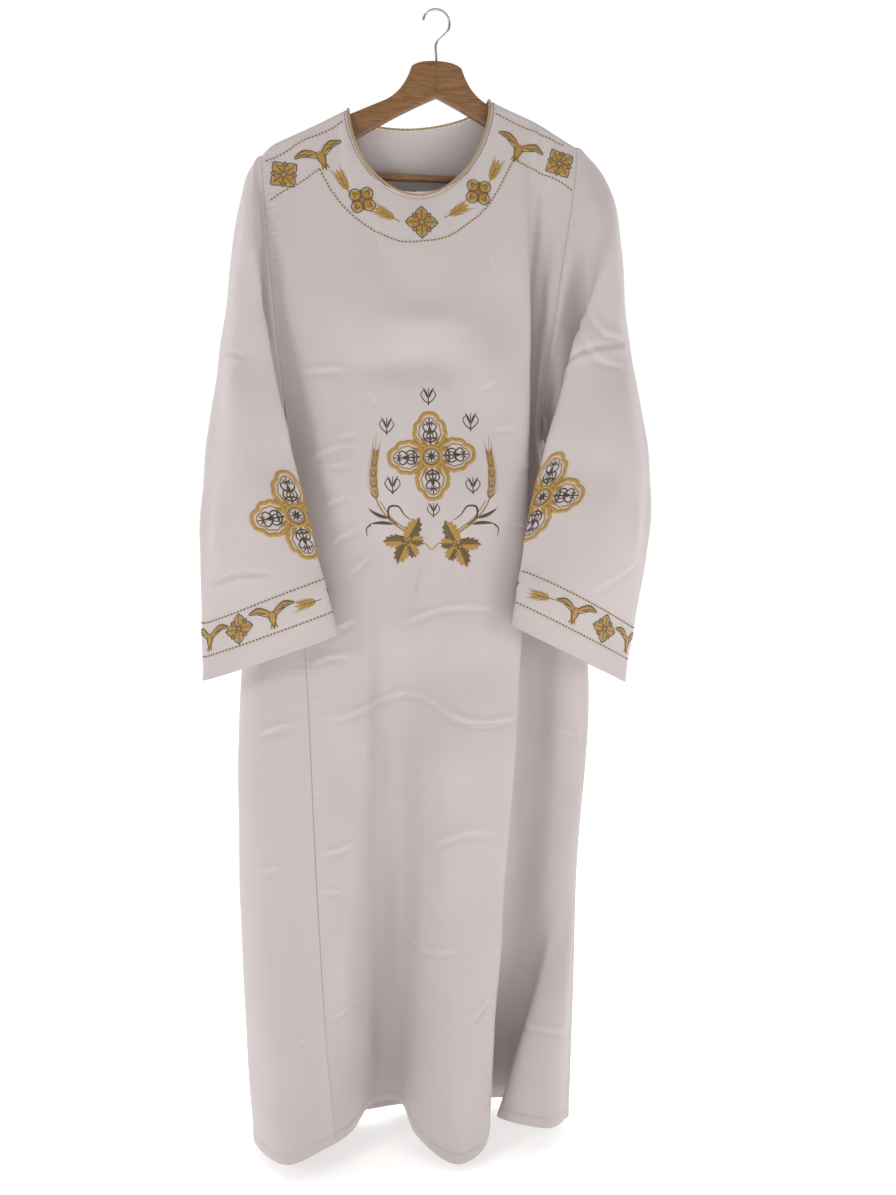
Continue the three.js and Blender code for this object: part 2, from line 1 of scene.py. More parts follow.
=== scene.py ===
"""A deacon's tunic of white cloth with gold and brown embroidery, hung on its wooden hanger.

The cloth is worked out as smooth surfaces in millimetres: each fold of a panel is a line from the hem to the top,
and splines join the folds at each level. Its creases, seams and embroidery then follow places on those surfaces.
"""

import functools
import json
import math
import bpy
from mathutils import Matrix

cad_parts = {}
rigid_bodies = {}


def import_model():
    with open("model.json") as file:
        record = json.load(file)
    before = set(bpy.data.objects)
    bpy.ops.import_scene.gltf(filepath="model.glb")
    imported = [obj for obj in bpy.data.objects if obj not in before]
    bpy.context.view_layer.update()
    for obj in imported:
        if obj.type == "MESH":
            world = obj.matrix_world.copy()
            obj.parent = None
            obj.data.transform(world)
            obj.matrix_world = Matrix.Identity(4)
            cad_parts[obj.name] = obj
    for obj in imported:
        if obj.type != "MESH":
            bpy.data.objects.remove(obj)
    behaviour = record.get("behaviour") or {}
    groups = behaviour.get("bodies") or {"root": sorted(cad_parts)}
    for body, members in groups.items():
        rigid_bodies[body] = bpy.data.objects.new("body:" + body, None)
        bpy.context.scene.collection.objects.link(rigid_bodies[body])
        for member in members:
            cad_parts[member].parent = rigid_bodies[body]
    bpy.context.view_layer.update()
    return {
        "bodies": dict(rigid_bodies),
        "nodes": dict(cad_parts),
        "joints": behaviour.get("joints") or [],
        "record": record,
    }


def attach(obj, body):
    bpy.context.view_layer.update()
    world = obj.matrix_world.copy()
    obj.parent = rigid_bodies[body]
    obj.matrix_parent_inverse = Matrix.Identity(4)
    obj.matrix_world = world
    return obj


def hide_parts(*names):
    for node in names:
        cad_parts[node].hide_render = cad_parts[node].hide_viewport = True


bl_info = {
    "name": "Deacon tunic on a hanger",
    "version": (1, 0, 0),
    "blender": (4, 5, 0),
    "location": "3D View > Sidebar > Tunic",
    "description": "Builds an embroidered white tunic on its wooden hanger",
    "category": "Add Mesh",
}

import bpy
import numpy as np
from mathutils import Vector

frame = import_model()

MM = 0.001
BODY = "root"

# ---------------------------------------------------------------- the hanger's sizes, in millimetres
WOOD_TOP = -70             # top of the arms in the middle, below the hook's top
WOOD_THICK = 12
ARM_REACH = 222            # from the middle to an arm's end
ARM_ROUND = 8              # length of its rounded end
DOME_HALF = 33             # half width of the raised middle
BAR_DIAMETER = 11
BAR_LEVEL = -233
BAR_REACH = 205
HOOK_WIRE = 3.6
HOOK_RADIUS = 19
HOOK_TURN = 220            # degrees of the crook
HOOK_LEAN = 50             # degrees from level to the crook's open end, downwards
SHANK_DEPTH = 24           # how far the wire goes into the wood

# ---------------------------------------------------------------- the tunic's sizes, in millimetres
SEAM = 0.35                # gap at a seam
NECK_MIDDLE = -25
NECK_HALF = 103            # half width of the neckline, a superellipse
NECK_DROP = 134
NECK_POWER = 1.86
NECK_CROWDING = 0.85       # how much closer its points lie towards the corners
NECK_FORWARD = 30          # how far its lowest point stands in front of the middle plane
BACK_NECK_DROP = 30
BACK_NECK_BEHIND = 22
NECK_STRIP = 11            # width of the strip along its edge
STRIP_GROWS = 0.1          # share of the neckline in which that strip reaches its width
TIP_LEFT = -246            # ends of the shoulders
TIP_RIGHT = 203
OVER_ARM = 10              # radius of the cloth over the arms
RIDGE_TOP = -84.5          # height at the middle of the slope of cloth over the arms
RIDGE_SLOPE = 0.477
RIDGE_BEND = 0.02          # its bend down, which begins this far past an arm's end
BEND_AFTER = 3
PUFFS = ((-130, 30, 2.5), (145, 38, 4.5))    # x, width and rise of the cloth beside the neck
NECK_LEFT = NECK_MIDDLE - NECK_HALF
NECK_RIGHT = NECK_MIDDLE + NECK_HALF

UPPER_LEVELS = (-1460, -1270, -900, -610, -410)          # heights of shin, knee, waist, chest and bust
LEVEL_PLACES = (0, 0.12, 0.25, 0.5, 0.69, 0.83)          # the hem and those levels, from hem 0 to top 1
TURN_PLACES = (0.982, 0.988, 0.994, 1)
TURNED = (1, 2 / 3, 1 / 3, 0)                            # how far each of those rows has turned over the arm
FINE_STEPS = 3001          # steps of the tables that the surfaces are read from
# How the rows below the top edge round its corners: shares of the points at shifts to either side.
ROUND_SHIFTS = (-0.06, -0.04, -0.02, 0, 0.02, 0.04, 0.06)
ROUND_SHARES = (0.08, 0.14, 0.18, 0.2, 0.18, 0.14, 0.08)
UNDERARM = 0.69            # place up the panels at which the armholes begin
SEAM_STRIP = 0.12          # share of the back's width, beside each seam, that is drawn to the front's edge
SEAM_FADE = 0.04           # and how far above the underarm that fades out

# fold, place across, place along the top, then x, y, z at the hem and x, y at shin, knee, waist, chest and bust
FRONT_FOLDS = (
    ("seam_left", 0.00, 0.00, (-158, -62, -1618), (-170, -66), (-180, -64), (-195, -58), (-214, -34), (-234, -34)),
    ("left_slope", 0.07, 0.50, (-126, -18, -1619), (-134, -50), (-142, -66), (-152, -64), (-166, -54), (-192, -44)),
    ("corner", 0.14, 1.00, (-104, 28, -1613), (-108, -14), (-112, -46), (-111, -58), (-120, -58), (-148, -47)),
    ("recess_left", 0.21, 1.18, (-80, 46, -1612), (-84, 18), (-88, -14), (-86, -42), (-84, -58), (-106, -48)),
    ("recess_right", 0.28, 1.37, (-48, 44, -1615), (-52, 18), (-54, -12), (-50, -42), (-46, -57), (-62, -48)),
    ("flute_left", 0.36, 1.56, (-37, -30, -1630), (-32, -42), (-26, -54), (-16, -60), (-8, -57), (-15, -48)),
    ("flute_front", 0.44, 1.76, (14, -86, -1650), (14, -86), (16, -84), (22, -74), (30, -59), (30, -48)),
    ("flute_right", 0.51, 2.00, (58, -70, -1640), (60, -76), (64, -78), (72, -74), (76, -61), (80, -49)),
    ("edge", 0.56, 2.42, (72, -42, -1621), (78, -56), (89, -62), (111, -66), (122, -60), (126, -50)),
    ("edge_behind", 0.62, 2.50, (70, 8, -1613), (74, -4), (86, -14), (106, -20), (113, -18), (121, -20)),
    ("deep", 0.70, 2.59, (90, 48, -1613), (94, 34), (107, 22), (124, 10), (121, -3), (130, -10)),
    ("recess", 0.77, 2.68, (118, 44, -1614), (124, 30), (136, 18), (154, 5), (131, -2), (140, -12)),
    ("cone_behind", 0.83, 2.77, (112, 4, -1613), (145, 8), (166, -2), (180, -8), (138, -6), (148, -18)),
    ("cone_edge", 0.88, 2.84, (88, -28, -1614), (138, -20), (192, -12), (200, -12), (144, -9), (155, -24)),
    ("cone_front", 0.94, 2.92, (158, -48, -1627), (182, -36), (206, -10), (216, -9), (149, -9), (163, -29)),
    ("seam_right", 1.00, 3.00, (203, -6, -1633), (209, -2), (214, 2), (226, 0), (155, -4), (170, -32)),
)
BACK_FOLDS = (
    ("seam_right", 0.00, 3.00, (203, -6, -1633), (209, -2), (214, 2), (226, 0), (155, -4), (208, 28)),
    ("right_turn", 0.09, 2.66, (196, 56, -1638), (203, 54), (210, 52), (221, 42), (176, 20), (172, 30)),
    ("right_back", 0.23, 2.00, (122, 100, -1647), (126, 90), (130, 78), (138, 60), (110, 38), (104, 30)),
    ("back_hollow", 0.36, 1.75, (44, 72, -1637), (46, 70), (48, 66), (50, 54), (42, 38), (40, 30)),
    ("back_flute", 0.49, 1.48, (-22, 108, -1649), (-22, 96), (-22, 82), (-24, 62), (-22, 40), (-22, 30)),
    ("left_hollow", 0.61, 1.24, (-98, 76, -1638), (-97, 72), (-95, 68), (-92, 55), (-82, 38), (-80, 30)),
    ("left_back", 0.73, 1.00, (-176, 102, -1650), (-174, 92), (-172, 80), (-165, 60), (-145, 38), (-142, 30)),
    ("left_turn", 0.83, 0.52, (-252, 62, -1643), (-262, 60), (-266, 56), (-258, 44), (-205, 30), (-198, 30)),
    ("left_side", 0.89, 0.34, (-274, 6, -1641), (-284, 6), (-290, 6), (-279, 2), (-228, 10), (-226, 30)),
    ("left_flute", 0.95, 0.16, (-226, -74, -1637), (-240, -66), (-250, -58), (-252, -46), (-228, -16), (-248, 29)),
    ("seam_left", 1.00, 0.00, (-158, -62, -1618), (-170, -66), (-180, -64), (-195, -58), (-214, -34), (-262, 28)),
)

# What each piece was cut to, flat: width and length in metres, and the area of its cut in square metres.
FRONT_FLAT = (0.74, 1.56)
FRONT_AREA = 0.80
BACK_FLAT = (0.90, 1.60)
BACK_AREA = 0.90

# Places round the armhole, in rows from the shoulder (0) down the front to the underarm (13) and up the back (26).
ARMHOLE_ROWS = (0.69, 0.73, 0.77, 0.81, 0.845, 0.88, 0.91, 0.937, 0.956, 0.97, 0.982, 0.988, 0.994, 1)
HALF_ROUND = len(ARMHOLE_ROWS) - 1
ROUND = 2 * HALF_ROUND
# line, place round the armhole, angle on the cuff, then x, y, z at the cap, the biceps and the elbow
SLEEVE_LEFT = (
    ("overarm", 0, 0, (-266, 0, -243), (-300, -6, -455), (-327, -38, -700)),
    ("front", 3, 75, (-264, -26, -268), (-284, -58, -460), (-280, -96, -692)),
    ("fold", 6, 180, (-255, -43, -316), (-242, -76, -476), (-200, -96, -690)),
    ("tuck", 9, 214, (-254, -28, -430), (-257, -30, -550), (-214, -80, -725)),
    ("underarm", 13, 250, (-232, -36, -632), (-246, -44, -678), (-250, -70, -775)),
    ("back_low", 16, 284, (-268, 22, -470), (-288, 6, -580), (-302, -38, -765)),
    ("back_high", 21, 325, (-272, 22, -290), (-302, 20, -485), (-326, -14, -728)),
)
SLEEVE_RIGHT = (
    ("overarm", 0, 0, (246, 0, -223), (283, -6, -450), (307, -38, -700)),
    ("front", 3, 75, (240, -28, -256), (252, -58, -455), (252, -96, -692)),
    ("fold", 6, 180, (224, -43, -308), (184, -74, -480), (124, -92, -708)),
    ("tuck", 9, 214, (206, -24, -425), (192, -30, -560), (148, -76, -740)),
    ("underarm", 13, 250, (166, -22, -632), (184, -36, -682), (194, -62, -785)),
    ("back_low", 16, 284, (218, 22, -470), (248, 6, -590), (262, -38, -775)),
    ("back_high", 21, 325, (235, 22, -286), (278, 20, -485), (300, -14, -728)),
)
CUFF_LEFT = ((-336, -58, -940), (-151, -98, -875))       # outer and inner corner
CUFF_RIGHT = ((269, -58, -955), (92, -100, -866))
CUFF_DEPTH = 44            # from the cuff's front to its back
SLEEVE_STATIONS = (0, 0.03, 0.12, 0.42, 0.74, 1)
SEAM_STEP = 7              # length of sleeve that goes straight on from the panel
BINDING_DIAMETER = 3.8
BINDING_TWIST = 7.0        # length in which its two strands wind round once
BINDING_CORE = 0.92        # its radius as a share of the whole one, and how much the strands add to it
BINDING_SWELL = 0.09
BINDING_LIFT = 1.2         # how far it lies out of the panels' edge
SLEEVE_PROUD = 1.3         # the sleeves lap over the panels' edges by this much


# ---------------------------------------------------------------- splines
def spline_weights(knots, places):
    """How much each knot's point counts at each place: cubic pieces between the knots, whose slope at a knot is
    that of the parabola through it and its two neighbours, and at an end that of the last span."""
    knots = np.asarray(knots, float)
    places = np.asarray(places, float)
    step = np.diff(knots)
    last = len(knots) - 1
    slope = np.zeros((last, last + 1))
    slope[np.arange(last), np.arange(last)] = -1 / step
    slope[np.arange(last), np.arange(last) + 1] = 1 / step
    share = (step[:-1] / (step[:-1] + step[1:]))[:, None]
    tangent = np.concatenate([slope[:1], slope[:-1] * (1 - share) + slope[1:] * share, slope[-1:]])
    at = np.clip(np.searchsorted(knots, places + 1e-9, side="right") - 1, 0, last - 1)
    width = step[at]
    s = (places - knots[at]) / width
    leave = (width * s * (1 - s) ** 2)[:, None] * tangent[at]
    arrive = (width * s * s * (1 - s))[:, None] * tangent[at + 1]
    weights = leave - arrive
    row = np.arange(len(places))
    weights[row, at] += (1 + 2 * s) * (1 - s) ** 2
    weights[row, at + 1] += s * s * (3 - 2 * s)
    return weights


def ring_weights(knots, count, places):
    """The same round a closed ring of the given count: two knots are repeated at each end."""
    knots = np.asarray(knots, float)
    full = spline_weights(np.concatenate([knots[-2:] - count, knots, knots[:2] + count]), places)
    weights = full[:, 2:-2].copy()
    weights[:, -2:] += full[:, :2]
    weights[:, :2] += full[:, -2:]
    return weights


def unit(vectors):
    """Vectors of the same directions, each one long."""
    return vectors / np.maximum(np.linalg.norm(vectors, axis=-1, keepdims=True), 1e-12)


def smooth_step(x):
    """0 below 0, 1 above 1, and 3x^2 - 2x^3 between."""
    x = np.clip(x, 0, 1)
    return x * x * (3 - 2 * x)


def bell(x):
    """The bell curve, 1 at 0: e to the power of -x^2."""
    return np.exp(-x * x)


def gap_lengths(points):
    """Distances along rows of points from each row's first, the sums of the gaps between them."""
    gaps = np.linalg.norm(np.diff(points, axis=-2), axis=-1)
    return np.concatenate([np.zeros((*gaps.shape[:-1], 1)), np.cumsum(gaps, axis=-1)], axis=-1)


# ---------------------------------------------------------------- the cloth's smooth surfaces
def ridge(x):
    """Height of the cloth over an arm: a slope down from the middle, a bend down past the arm's end, and a bell
    curve for each puff beside the neck."""
    away = np.abs(x)
    puffs = sum(rise * bell((x - at) / width) for at, width, rise in PUFFS)
    return puffs + RIDGE_TOP - RIDGE_SLOPE * away - RIDGE_BEND * np.maximum(0, away - ARM_REACH - BEND_AFTER) ** 2


def yoke_stand(depth, side):
    """How far the cloth stands in front of the hanger's middle plane, at a depth below the ridge: a quarter circle
    over the arm, then a slope out to the neckline's lowest point."""
    turn = np.minimum(depth, OVER_ARM)
    quarter = np.sqrt(np.maximum(0, turn * (2 * OVER_ARM - turn)))
    stand, drop = (NECK_FORWARD, NECK_DROP) if side < 0 else (BACK_NECK_BEHIND, BACK_NECK_DROP + 10)
    slope = (stand - OVER_ARM) / (drop - OVER_ARM)
    return side * (SEAM / 2 + quarter + np.maximum(0, depth - OVER_ARM) * slope)


def top_points(place, turned, side):
    """Points near a panel's top edge. On the shoulders they lie over the arm, a part of a quarter circle down. On
    the neckline they lie on a superellipse, in a strip along its edge."""
    left = TIP_LEFT + (NECK_LEFT - TIP_LEFT) * place
    right = NECK_RIGHT + (TIP_RIGHT - NECK_RIGHT) * (place - 2)
    x = np.where(place <= 1, left, right)
    fall = OVER_ARM * (1 - math.cos(turned * math.pi / 2))
    shoulder = np.stack([x, yoke_stand(np.full_like(x, fall), side), ridge(x) - fall], axis=-1)

    along = np.clip(place - 1, 0, 1)
    angle = math.pi * (along - NECK_CROWDING * np.sin(2 * math.pi * along) / (2 * math.pi))
    across = np.cos(angle)
    drop = NECK_DROP if side < 0 else BACK_NECK_DROP
    out = unit(np.stack([-across * drop * 0.5, -np.sin(angle) * NECK_HALF], axis=-1))
    x = NECK_MIDDLE - NECK_HALF * np.sign(across) * np.abs(across) ** (2 / NECK_POWER)
    depth = drop * np.abs(np.sin(angle)) ** (2 / NECK_POWER)
    ends = ridge(np.array([float(NECK_LEFT), float(NECK_RIGHT)]))
    level = ends[0] + (ends[1] - ends[0]) * (x - NECK_LEFT) / (2 * NECK_HALF)
    strip = NECK_STRIP * turned * smooth_step(np.minimum(along, 1 - along) / STRIP_GROWS)
    under = depth - strip * out[:, 1] + fall * (1 - np.sin(angle))
    neck = np.stack([x + strip * out[:, 0], yoke_stand(under, side), level - under], axis=-1)
    return np.where(((place <= 1) | (place >= 2))[:, None], shoulder, neck)


def table_at(table, share):
    """Values of a table at shares of its length, straight between its rows."""
    at = np.clip(share, 0, 1) * (len(table) - 1)
    row = np.minimum(at.astype(int), len(table) - 2)
    part = (at - row).reshape(-1, *[1] * (table.ndim - 1))
    return table[row] * (1 - part) + table[row + 1] * part


@functools.lru_cache(maxsize=None)
def panel_lines(side):
    """For fine steps across a panel, the points where its line from hem to top passes each level and each row of
    the turn. The rows below the top edge are weighted means of the points to either side, which rounds the corners
    at the neck."""
    folds = FRONT_FOLDS if side < 0 else BACK_FOLDS
    u = np.linspace(0, 1, FINE_STEPS)
    across = [row[1] for row in folds]
    levels = [[(*row[4 + k], z) for row in folds] for k, z in enumerate(UPPER_LEVELS)]
    low = np.einsum("nf,lfc->nlc", spline_weights(across, u), np.array([[row[3] for row in folds], *levels], float))
    tops = [row[2] for row in folds]
    room = np.minimum(1, np.minimum(u, 1 - u) / max(ROUND_SHIFTS))
    high = [sum(share * top_points(np.interp(u + shift * room * turned, across, tops), turned, side)
                for shift, share in zip(ROUND_SHIFTS, ROUND_SHARES)) for turned in TURNED[:-1]]
    edge = top_points(np.interp(u, across, tops), 0, side)
    return np.concatenate([low, np.stack([*high, edge], axis=1)], axis=1)


def panel_points(side, u, v):
    """Points of a panel at places across and up: a spline up the levels and the rows that turn over the arm. Below
    those rows their sideways steps are left out, which would swing the cloth beside the neck."""
    rows, turn = table_at(panel_lines(side), u), len(LEVEL_PLACES)
    rows[:, turn + 1:, 0] = np.where((v < TURN_PLACES[0])[:, None], rows[:, turn:turn + 1, 0], rows[:, turn + 1:, 0])
    return np.einsum("nl,nlc->nc", spline_weights(LEVEL_PLACES + TURN_PLACES, v), rows)


def front_points(u, v):
    """The front panel, from the left side seam (0) to the right one (1) and from the hem (0) to the top (1)."""
    return panel_points(-1, u, v)


@functools.lru_cache(maxsize=None)
def seam_shifts():
    """For fine steps from hem to underarm, the way from each side edge of the back to the front's."""
    v = np.linspace(0, UNDERARM, FINE_STEPS)
    return [panel_points(-1, np.full_like(v, 1 - edge), v) - panel_points(1, np.full_like(v, edge), v)
            for edge in (0.0, 1.0)]


def back_points(u, v):
    """The back panel, from the right side seam (0) round to the left one (1). Below the armholes its edges are
    drawn to the front's, by a shift that fades with the square of the distance."""
    points = panel_points(1, u, v)
    fade = np.clip((UNDERARM + SEAM_FADE - v) / SEAM_FADE, 0, 1)
    for edge, shifts in zip((0.0, 1.0), seam_shifts()):
        near = np.maximum(0, 1 - np.abs(u - edge) / SEAM_STRIP) ** 2
        points = points + table_at(shifts, v / UNDERARM) * (near * fade)[:, None]
    return points


def armhole_edge(side, place):
    """Points of an armhole at places round it. Near the shoulder and the underarm, the front's edge and the back's
    are mixed, so that the ring is closed."""
    v = np.interp(np.abs(place - HALF_ROUND), np.arange(HALF_ROUND + 1), ARMHOLE_ROWS)
    front = front_points(np.full_like(v, 0.0 if side < 0 else 1.0), v)
    back = back_points(np.full_like(v, 1.0 if side < 0 else 0.0), v)
    join = np.minimum(np.minimum(place, ROUND - place), np.abs(place - HALF_ROUND))
    other = 0.5 * np.maximum(0, 1 - join)[:, None]
    on_front = (place <= HALF_ROUND)[:, None]
    return np.where(on_front, front * (1 - other) + back * other, back * (1 - other) + front * other)


def armhole_outward(side):
    """The way on from the cloth at each row of an armhole: from the next column of the panel to its edge, square
    to the edge. At the two joins it is the mean of the front's and the back's."""
    rows = np.array(ARMHOLE_ROWS)
    ways = []
    for folds, form, edge in ((FRONT_FOLDS, front_points, 0 if side < 0 else 1),
                              (BACK_FOLDS, back_points, 1 if side < 0 else 0)):
        step = folds[1][1] / 3 if edge == 0 else (folds[-2][1] - 1) / 3
        line = form(np.full_like(rows, edge), rows)
        inner = form(np.full_like(rows, edge + step), rows)
        along = unit(np.concatenate([line[1:2] - line[:1], line[2:] - line[:-2], line[-1:] - line[-2:-1]]))
        out = unit(line - inner)
        ways.append(unit(out - along * np.sum(out * along, axis=1, keepdims=True)))
    front, back = ways[0][::-1], ways[1]
    shoulder, underarm = unit(front[:1] + back[-1:]), unit(front[-1:] + back[:1])
    return np.concatenate([shoulder, front[1:-1], underarm, back[1:-1], shoulder])


@functools.lru_cache(maxsize=None)
def sleeve_lines(side):
    """For fine steps round the armhole, the points where the sleeve's line down to the cuff passes each station. A
    closed spline joins the table's lines."""
    lines, cuff = (SLEEVE_LEFT, CUFF_LEFT) if side < 0 else (SLEEVE_RIGHT, CUFF_RIGHT)
    place = np.linspace(0, ROUND, FINE_STEPS)
    outward = armhole_outward(side)
    edge = armhole_edge(side, place)
    out = unit(np.stack([np.interp(place, np.arange(ROUND + 1), outward[:, k]) for k in range(3)], axis=-1))
    weights = ring_weights([row[1] for row in lines], ROUND, np.mod(place, ROUND))
    inner = [weights @ np.array([row[k] for row in lines], float) for k in (3, 4, 5)]
    turn = np.radians(np.interp(place, [row[1] for row in lines] + [ROUND], [row[2] for row in lines] + [360]))
    corner, opposite = np.array(cuff, float)
    oval = ((corner + opposite) / 2 + (corner - opposite) / 2 * np.cos(turn)[:, None]
            - np.array([0, CUFF_DEPTH / 2, 0]) * np.sin(turn)[:, None])
    return np.stack([edge + out * SEAM, edge + out * (SEAM + SEAM_STEP), *inner, oval], axis=1)


def sleeve_points(side, place, down):
    """A sleeve at places round the armhole and down to the cuff: a spline down the stations."""
    lines = table_at(sleeve_lines(side), np.mod(place, ROUND) / ROUND)
    return np.einsum("ns,nsc->nc", spline_weights(SLEEVE_STATIONS, down), lines)


# ---------------------------------------------------------------- creases, puckers and hems
# Creases by piece: depth, half width, then the line as (x, z) seen from the front. On the last rows, which lie on
# the back, it is as seen from behind.
CREASES = {
    "front": (
        (1.6, 6, ((-190, -1001), (-136, -998), (-113, -989), (-89, -982), (-62, -972), (-29, -973), (4, -996),
                  (52, -1011), (103, -1006))),
        (1.0, 6, ((173, -1033), (211, -1047))), (1.4, 6, ((-190, -1202), (-155, -1190), (-121, -1181))),
        (1.3, 5, ((-178, -1249), (-146, -1248))), (1.6, 6, ((-168, -1442), (-140, -1425), (-114, -1415))),
        (1.3, 6, ((140, -1480), (200, -1492))), (1.2, 5, ((84, -1422), (105, -1444))),
        (1.6, 6, ((36, -1447), (70, -1412))), (1.4, 6, ((-205, -518), (-132, -512))),
        (1.2, 6, ((-60, -872), (10, -846), (88, -851))), (1.1, 6, ((-172, -884), (-118, -860))),
        (1.0, 7, ((-20, -1190), (36, -1168), (82, -1177))), (1.0, 6, ((-60, -1330), (-22, -1346), (30, -1331))),
        (1.0, 5, ((-146, -606), (-118, -600))), (1.1, 5, ((-162, -648), (-124, -642))),
        (1.0, 5, ((-166, -700), (-128, -686))), (1.2, 5, ((-158, -756), (-112, -728))),
        (0.9, 5, ((-110, -540), (-88, -562))), (1.0, 5, ((-132, -800), (-92, -764))),
        (1.0, 5, ((74, -596), (104, -588))), (1.1, 5, ((88, -650), (116, -646))), (1.0, 5, ((84, -720), (114, -736))),
        (0.9, 5, ((56, -540), (78, -522))), (1.0, 5, ((-34, -788), (-40, -826))), (0.9, 5, ((22, -790), (34, -822))),
        (0.9, 6, ((-96, -300), (-84, -348))), (0.8, 6, ((64, -320), (72, -372))),
        (0.9, 6, ((-186, -640), (-150, -622), (-120, -618))), (0.9, 6, ((-196, -930), (-150, -912), (-124, -918))),
        (1.0, 6, ((20, -1560), (52, -1574), (76, -1566))),
    ),
    "back": (
        (1.5, 6, ((-262, -1024), (-232, -1013), (-205, -1006))), (1.2, 6, ((-264, -1223), (-231, -1209))),
        (1.3, 5, ((-210, -1263), (-192, -1249))), (1.6, 6, ((-216, -1472), (-180, -1444))),
    ),
    "sleeve_left": (
        (1.2, 6, ((-322, -806), (-276, -788), (-236, -794))), (1.0, 6, ((-300, -486), (-266, -500))),
    ),
    "sleeve_right": (
        (1.3, 6, ((210, -457), (250, -462), (286, -467))), (1.3, 6, ((196, -491), (240, -501), (280, -510))),
        (1.2, 6, ((200, -828), (245, -803), (284, -779))),
    ),
    "behind": (
        (1.5, 6, ((200, -1008), (110, -1001), (20, -984), (-60, -990), (-170, -1012))),
        (1.3, 6, ((150, -1230), (60, -1246), (-30, -1239))), (1.4, 6, ((-80, -1448), (-150, -1462), (-220, -1449))),
        (1.2, 6, ((120, -700), (30, -688), (-70, -702))), (1.2, 6, ((90, -430), (0, -421), (-120, -436))),
    ),
}
# Soft swellings and hollows by piece: height, then x, z, half width and half height.
SWELLINGS = {
    "front": (
        (2.4, -22, -440, 60, 26), (-2.0, -40, -500, 70, 22), (2.2, 60, -500, 34, 44), (-1.8, 92, -420, 26, 60),
        (2.2, -130, -420, 34, 60), (1.8, -140, -640, 30, 60), (-1.8, -100, -760, 34, 50), (2.0, 40, -690, 44, 50),
        (1.8, -60, -880, 50, 36), (-1.8, 30, -930, 50, 40), (2.0, 6, -1060, 46, 50), (-1.6, -150, -1080, 30, 56),
        (2.0, -150, -1330, 26, 60), (-1.6, 30, -1260, 36, 60), (1.8, 22, -1520, 30, 60), (1.6, 200, -1180, 18, 70),
        (-1.4, 190, -1350, 18, 60),
    ),
    "sleeve_left": (
        (2.2, -280, -560, 26, 60), (-1.6, -250, -640, 24, 40), (1.8, -310, -730, 20, 50),
    ),
    "sleeve_right": (
        (2.2, 250, -580, 30, 60), (-1.6, 220, -660, 24, 50), (1.8, 270, -740, 22, 50),
    ),
    "behind": (
        (2.4, 60, -480, 60, 60), (-2.0, -60, -560, 70, 50), (2.2, -20, -800, 60, 70), (-2.0, 90, -950, 50, 60),
        (2.0, -150, -1120, 50, 80), (2.0, 120, -1380, 50, 80),
    ),
}
# One factor for all depths of creases, one for their widths and one for the heights of swellings.
CREASE_GAIN = 1.5
CREASE_NARROWS = 0.62
SWELL_GAIN = 3.0
HEM_STEP = 0.35            # the folded hem lies this much prouder
STITCH_TROUGH = 0.5        # depth of the trough that its stitches pull
PUCKER_PITCH = 11
PUCKER_DEPTH = 1.2
PUCKER_MIDDLE = 3          # distance from a seam at which the puckers are deepest
PUCKER_REACH = 11          # how far from there they go
PUCKER_START = 4           # and where their first rise ends
PUCKER_DRIFT = 37.0        # length over which their depth varies, for each radian
HEM_CLEAR = 0.02           # share of a panel's length above the hem that has none
HEM_SLOPE = 2              # width of the hem's step
TROUGH_HALF = 1.6
LAP_SLOPE = 6              # length in which a sleeve rises over the panels' edges
CUFF_HEM = 33              # height of the cuff's hem
CALM_EDGE = 26             # the creases and waves fade out within this distance of a seam
CALM_TOP = 0.03            # and within this share of a panel's length below its top
CREASE_FADE = 0.25         # share of a crease's length over which each of its ends fades
BESIDE_HEIGHT = 0.7        # the ridge beside a crease: its height as a share of the depth, and its distance
BESIDE_AWAY = 1.7          # and half width as shares of the crease's half width
BESIDE_WIDTH = 1.4
# Rough lengths that turn shares of a panel or a sleeve into millimetres.
FRONT_WIDTH, BACK_WIDTH, PANEL_LENGTH = 620, 900, 1500
SLEEVE_WIDTH, SLEEVE_LENGTH = 640, 700
# Lines of a piece's table of points and of one near a place, with the share of the piece that it covers to either
# side. Newton's steps that follow, and the longest of them as a share of the piece.
TABLE_LINES = 90
NEAR_LINES, NEAR_SHARE = 44, 0.16
FIND_STEPS, FIND_LIMIT = 8, 0.02
PROJECT_STEPS, PROJECT_LIMIT = 7, 0.01
# Distances along the cloth: the share of the piece covered to either side, points up the middle, rows and columns.
SPREAD_SHARE = 0.24
SPREAD_UP, SPREAD_ROWS, SPREAD_ACROSS = 161, 24, 241
EDGE_SHARE = 0.02          # share of a piece beside its hem on which the hem's height is measured
EDGE_POINTS = 240
AWAY = 3e4                 # square of a distance, added where the cloth faces away in a search for near places
AS_SEEN = np.array([(1, 0), (0, 0), (0, 1)], float)      # a level view's two directions, x and z


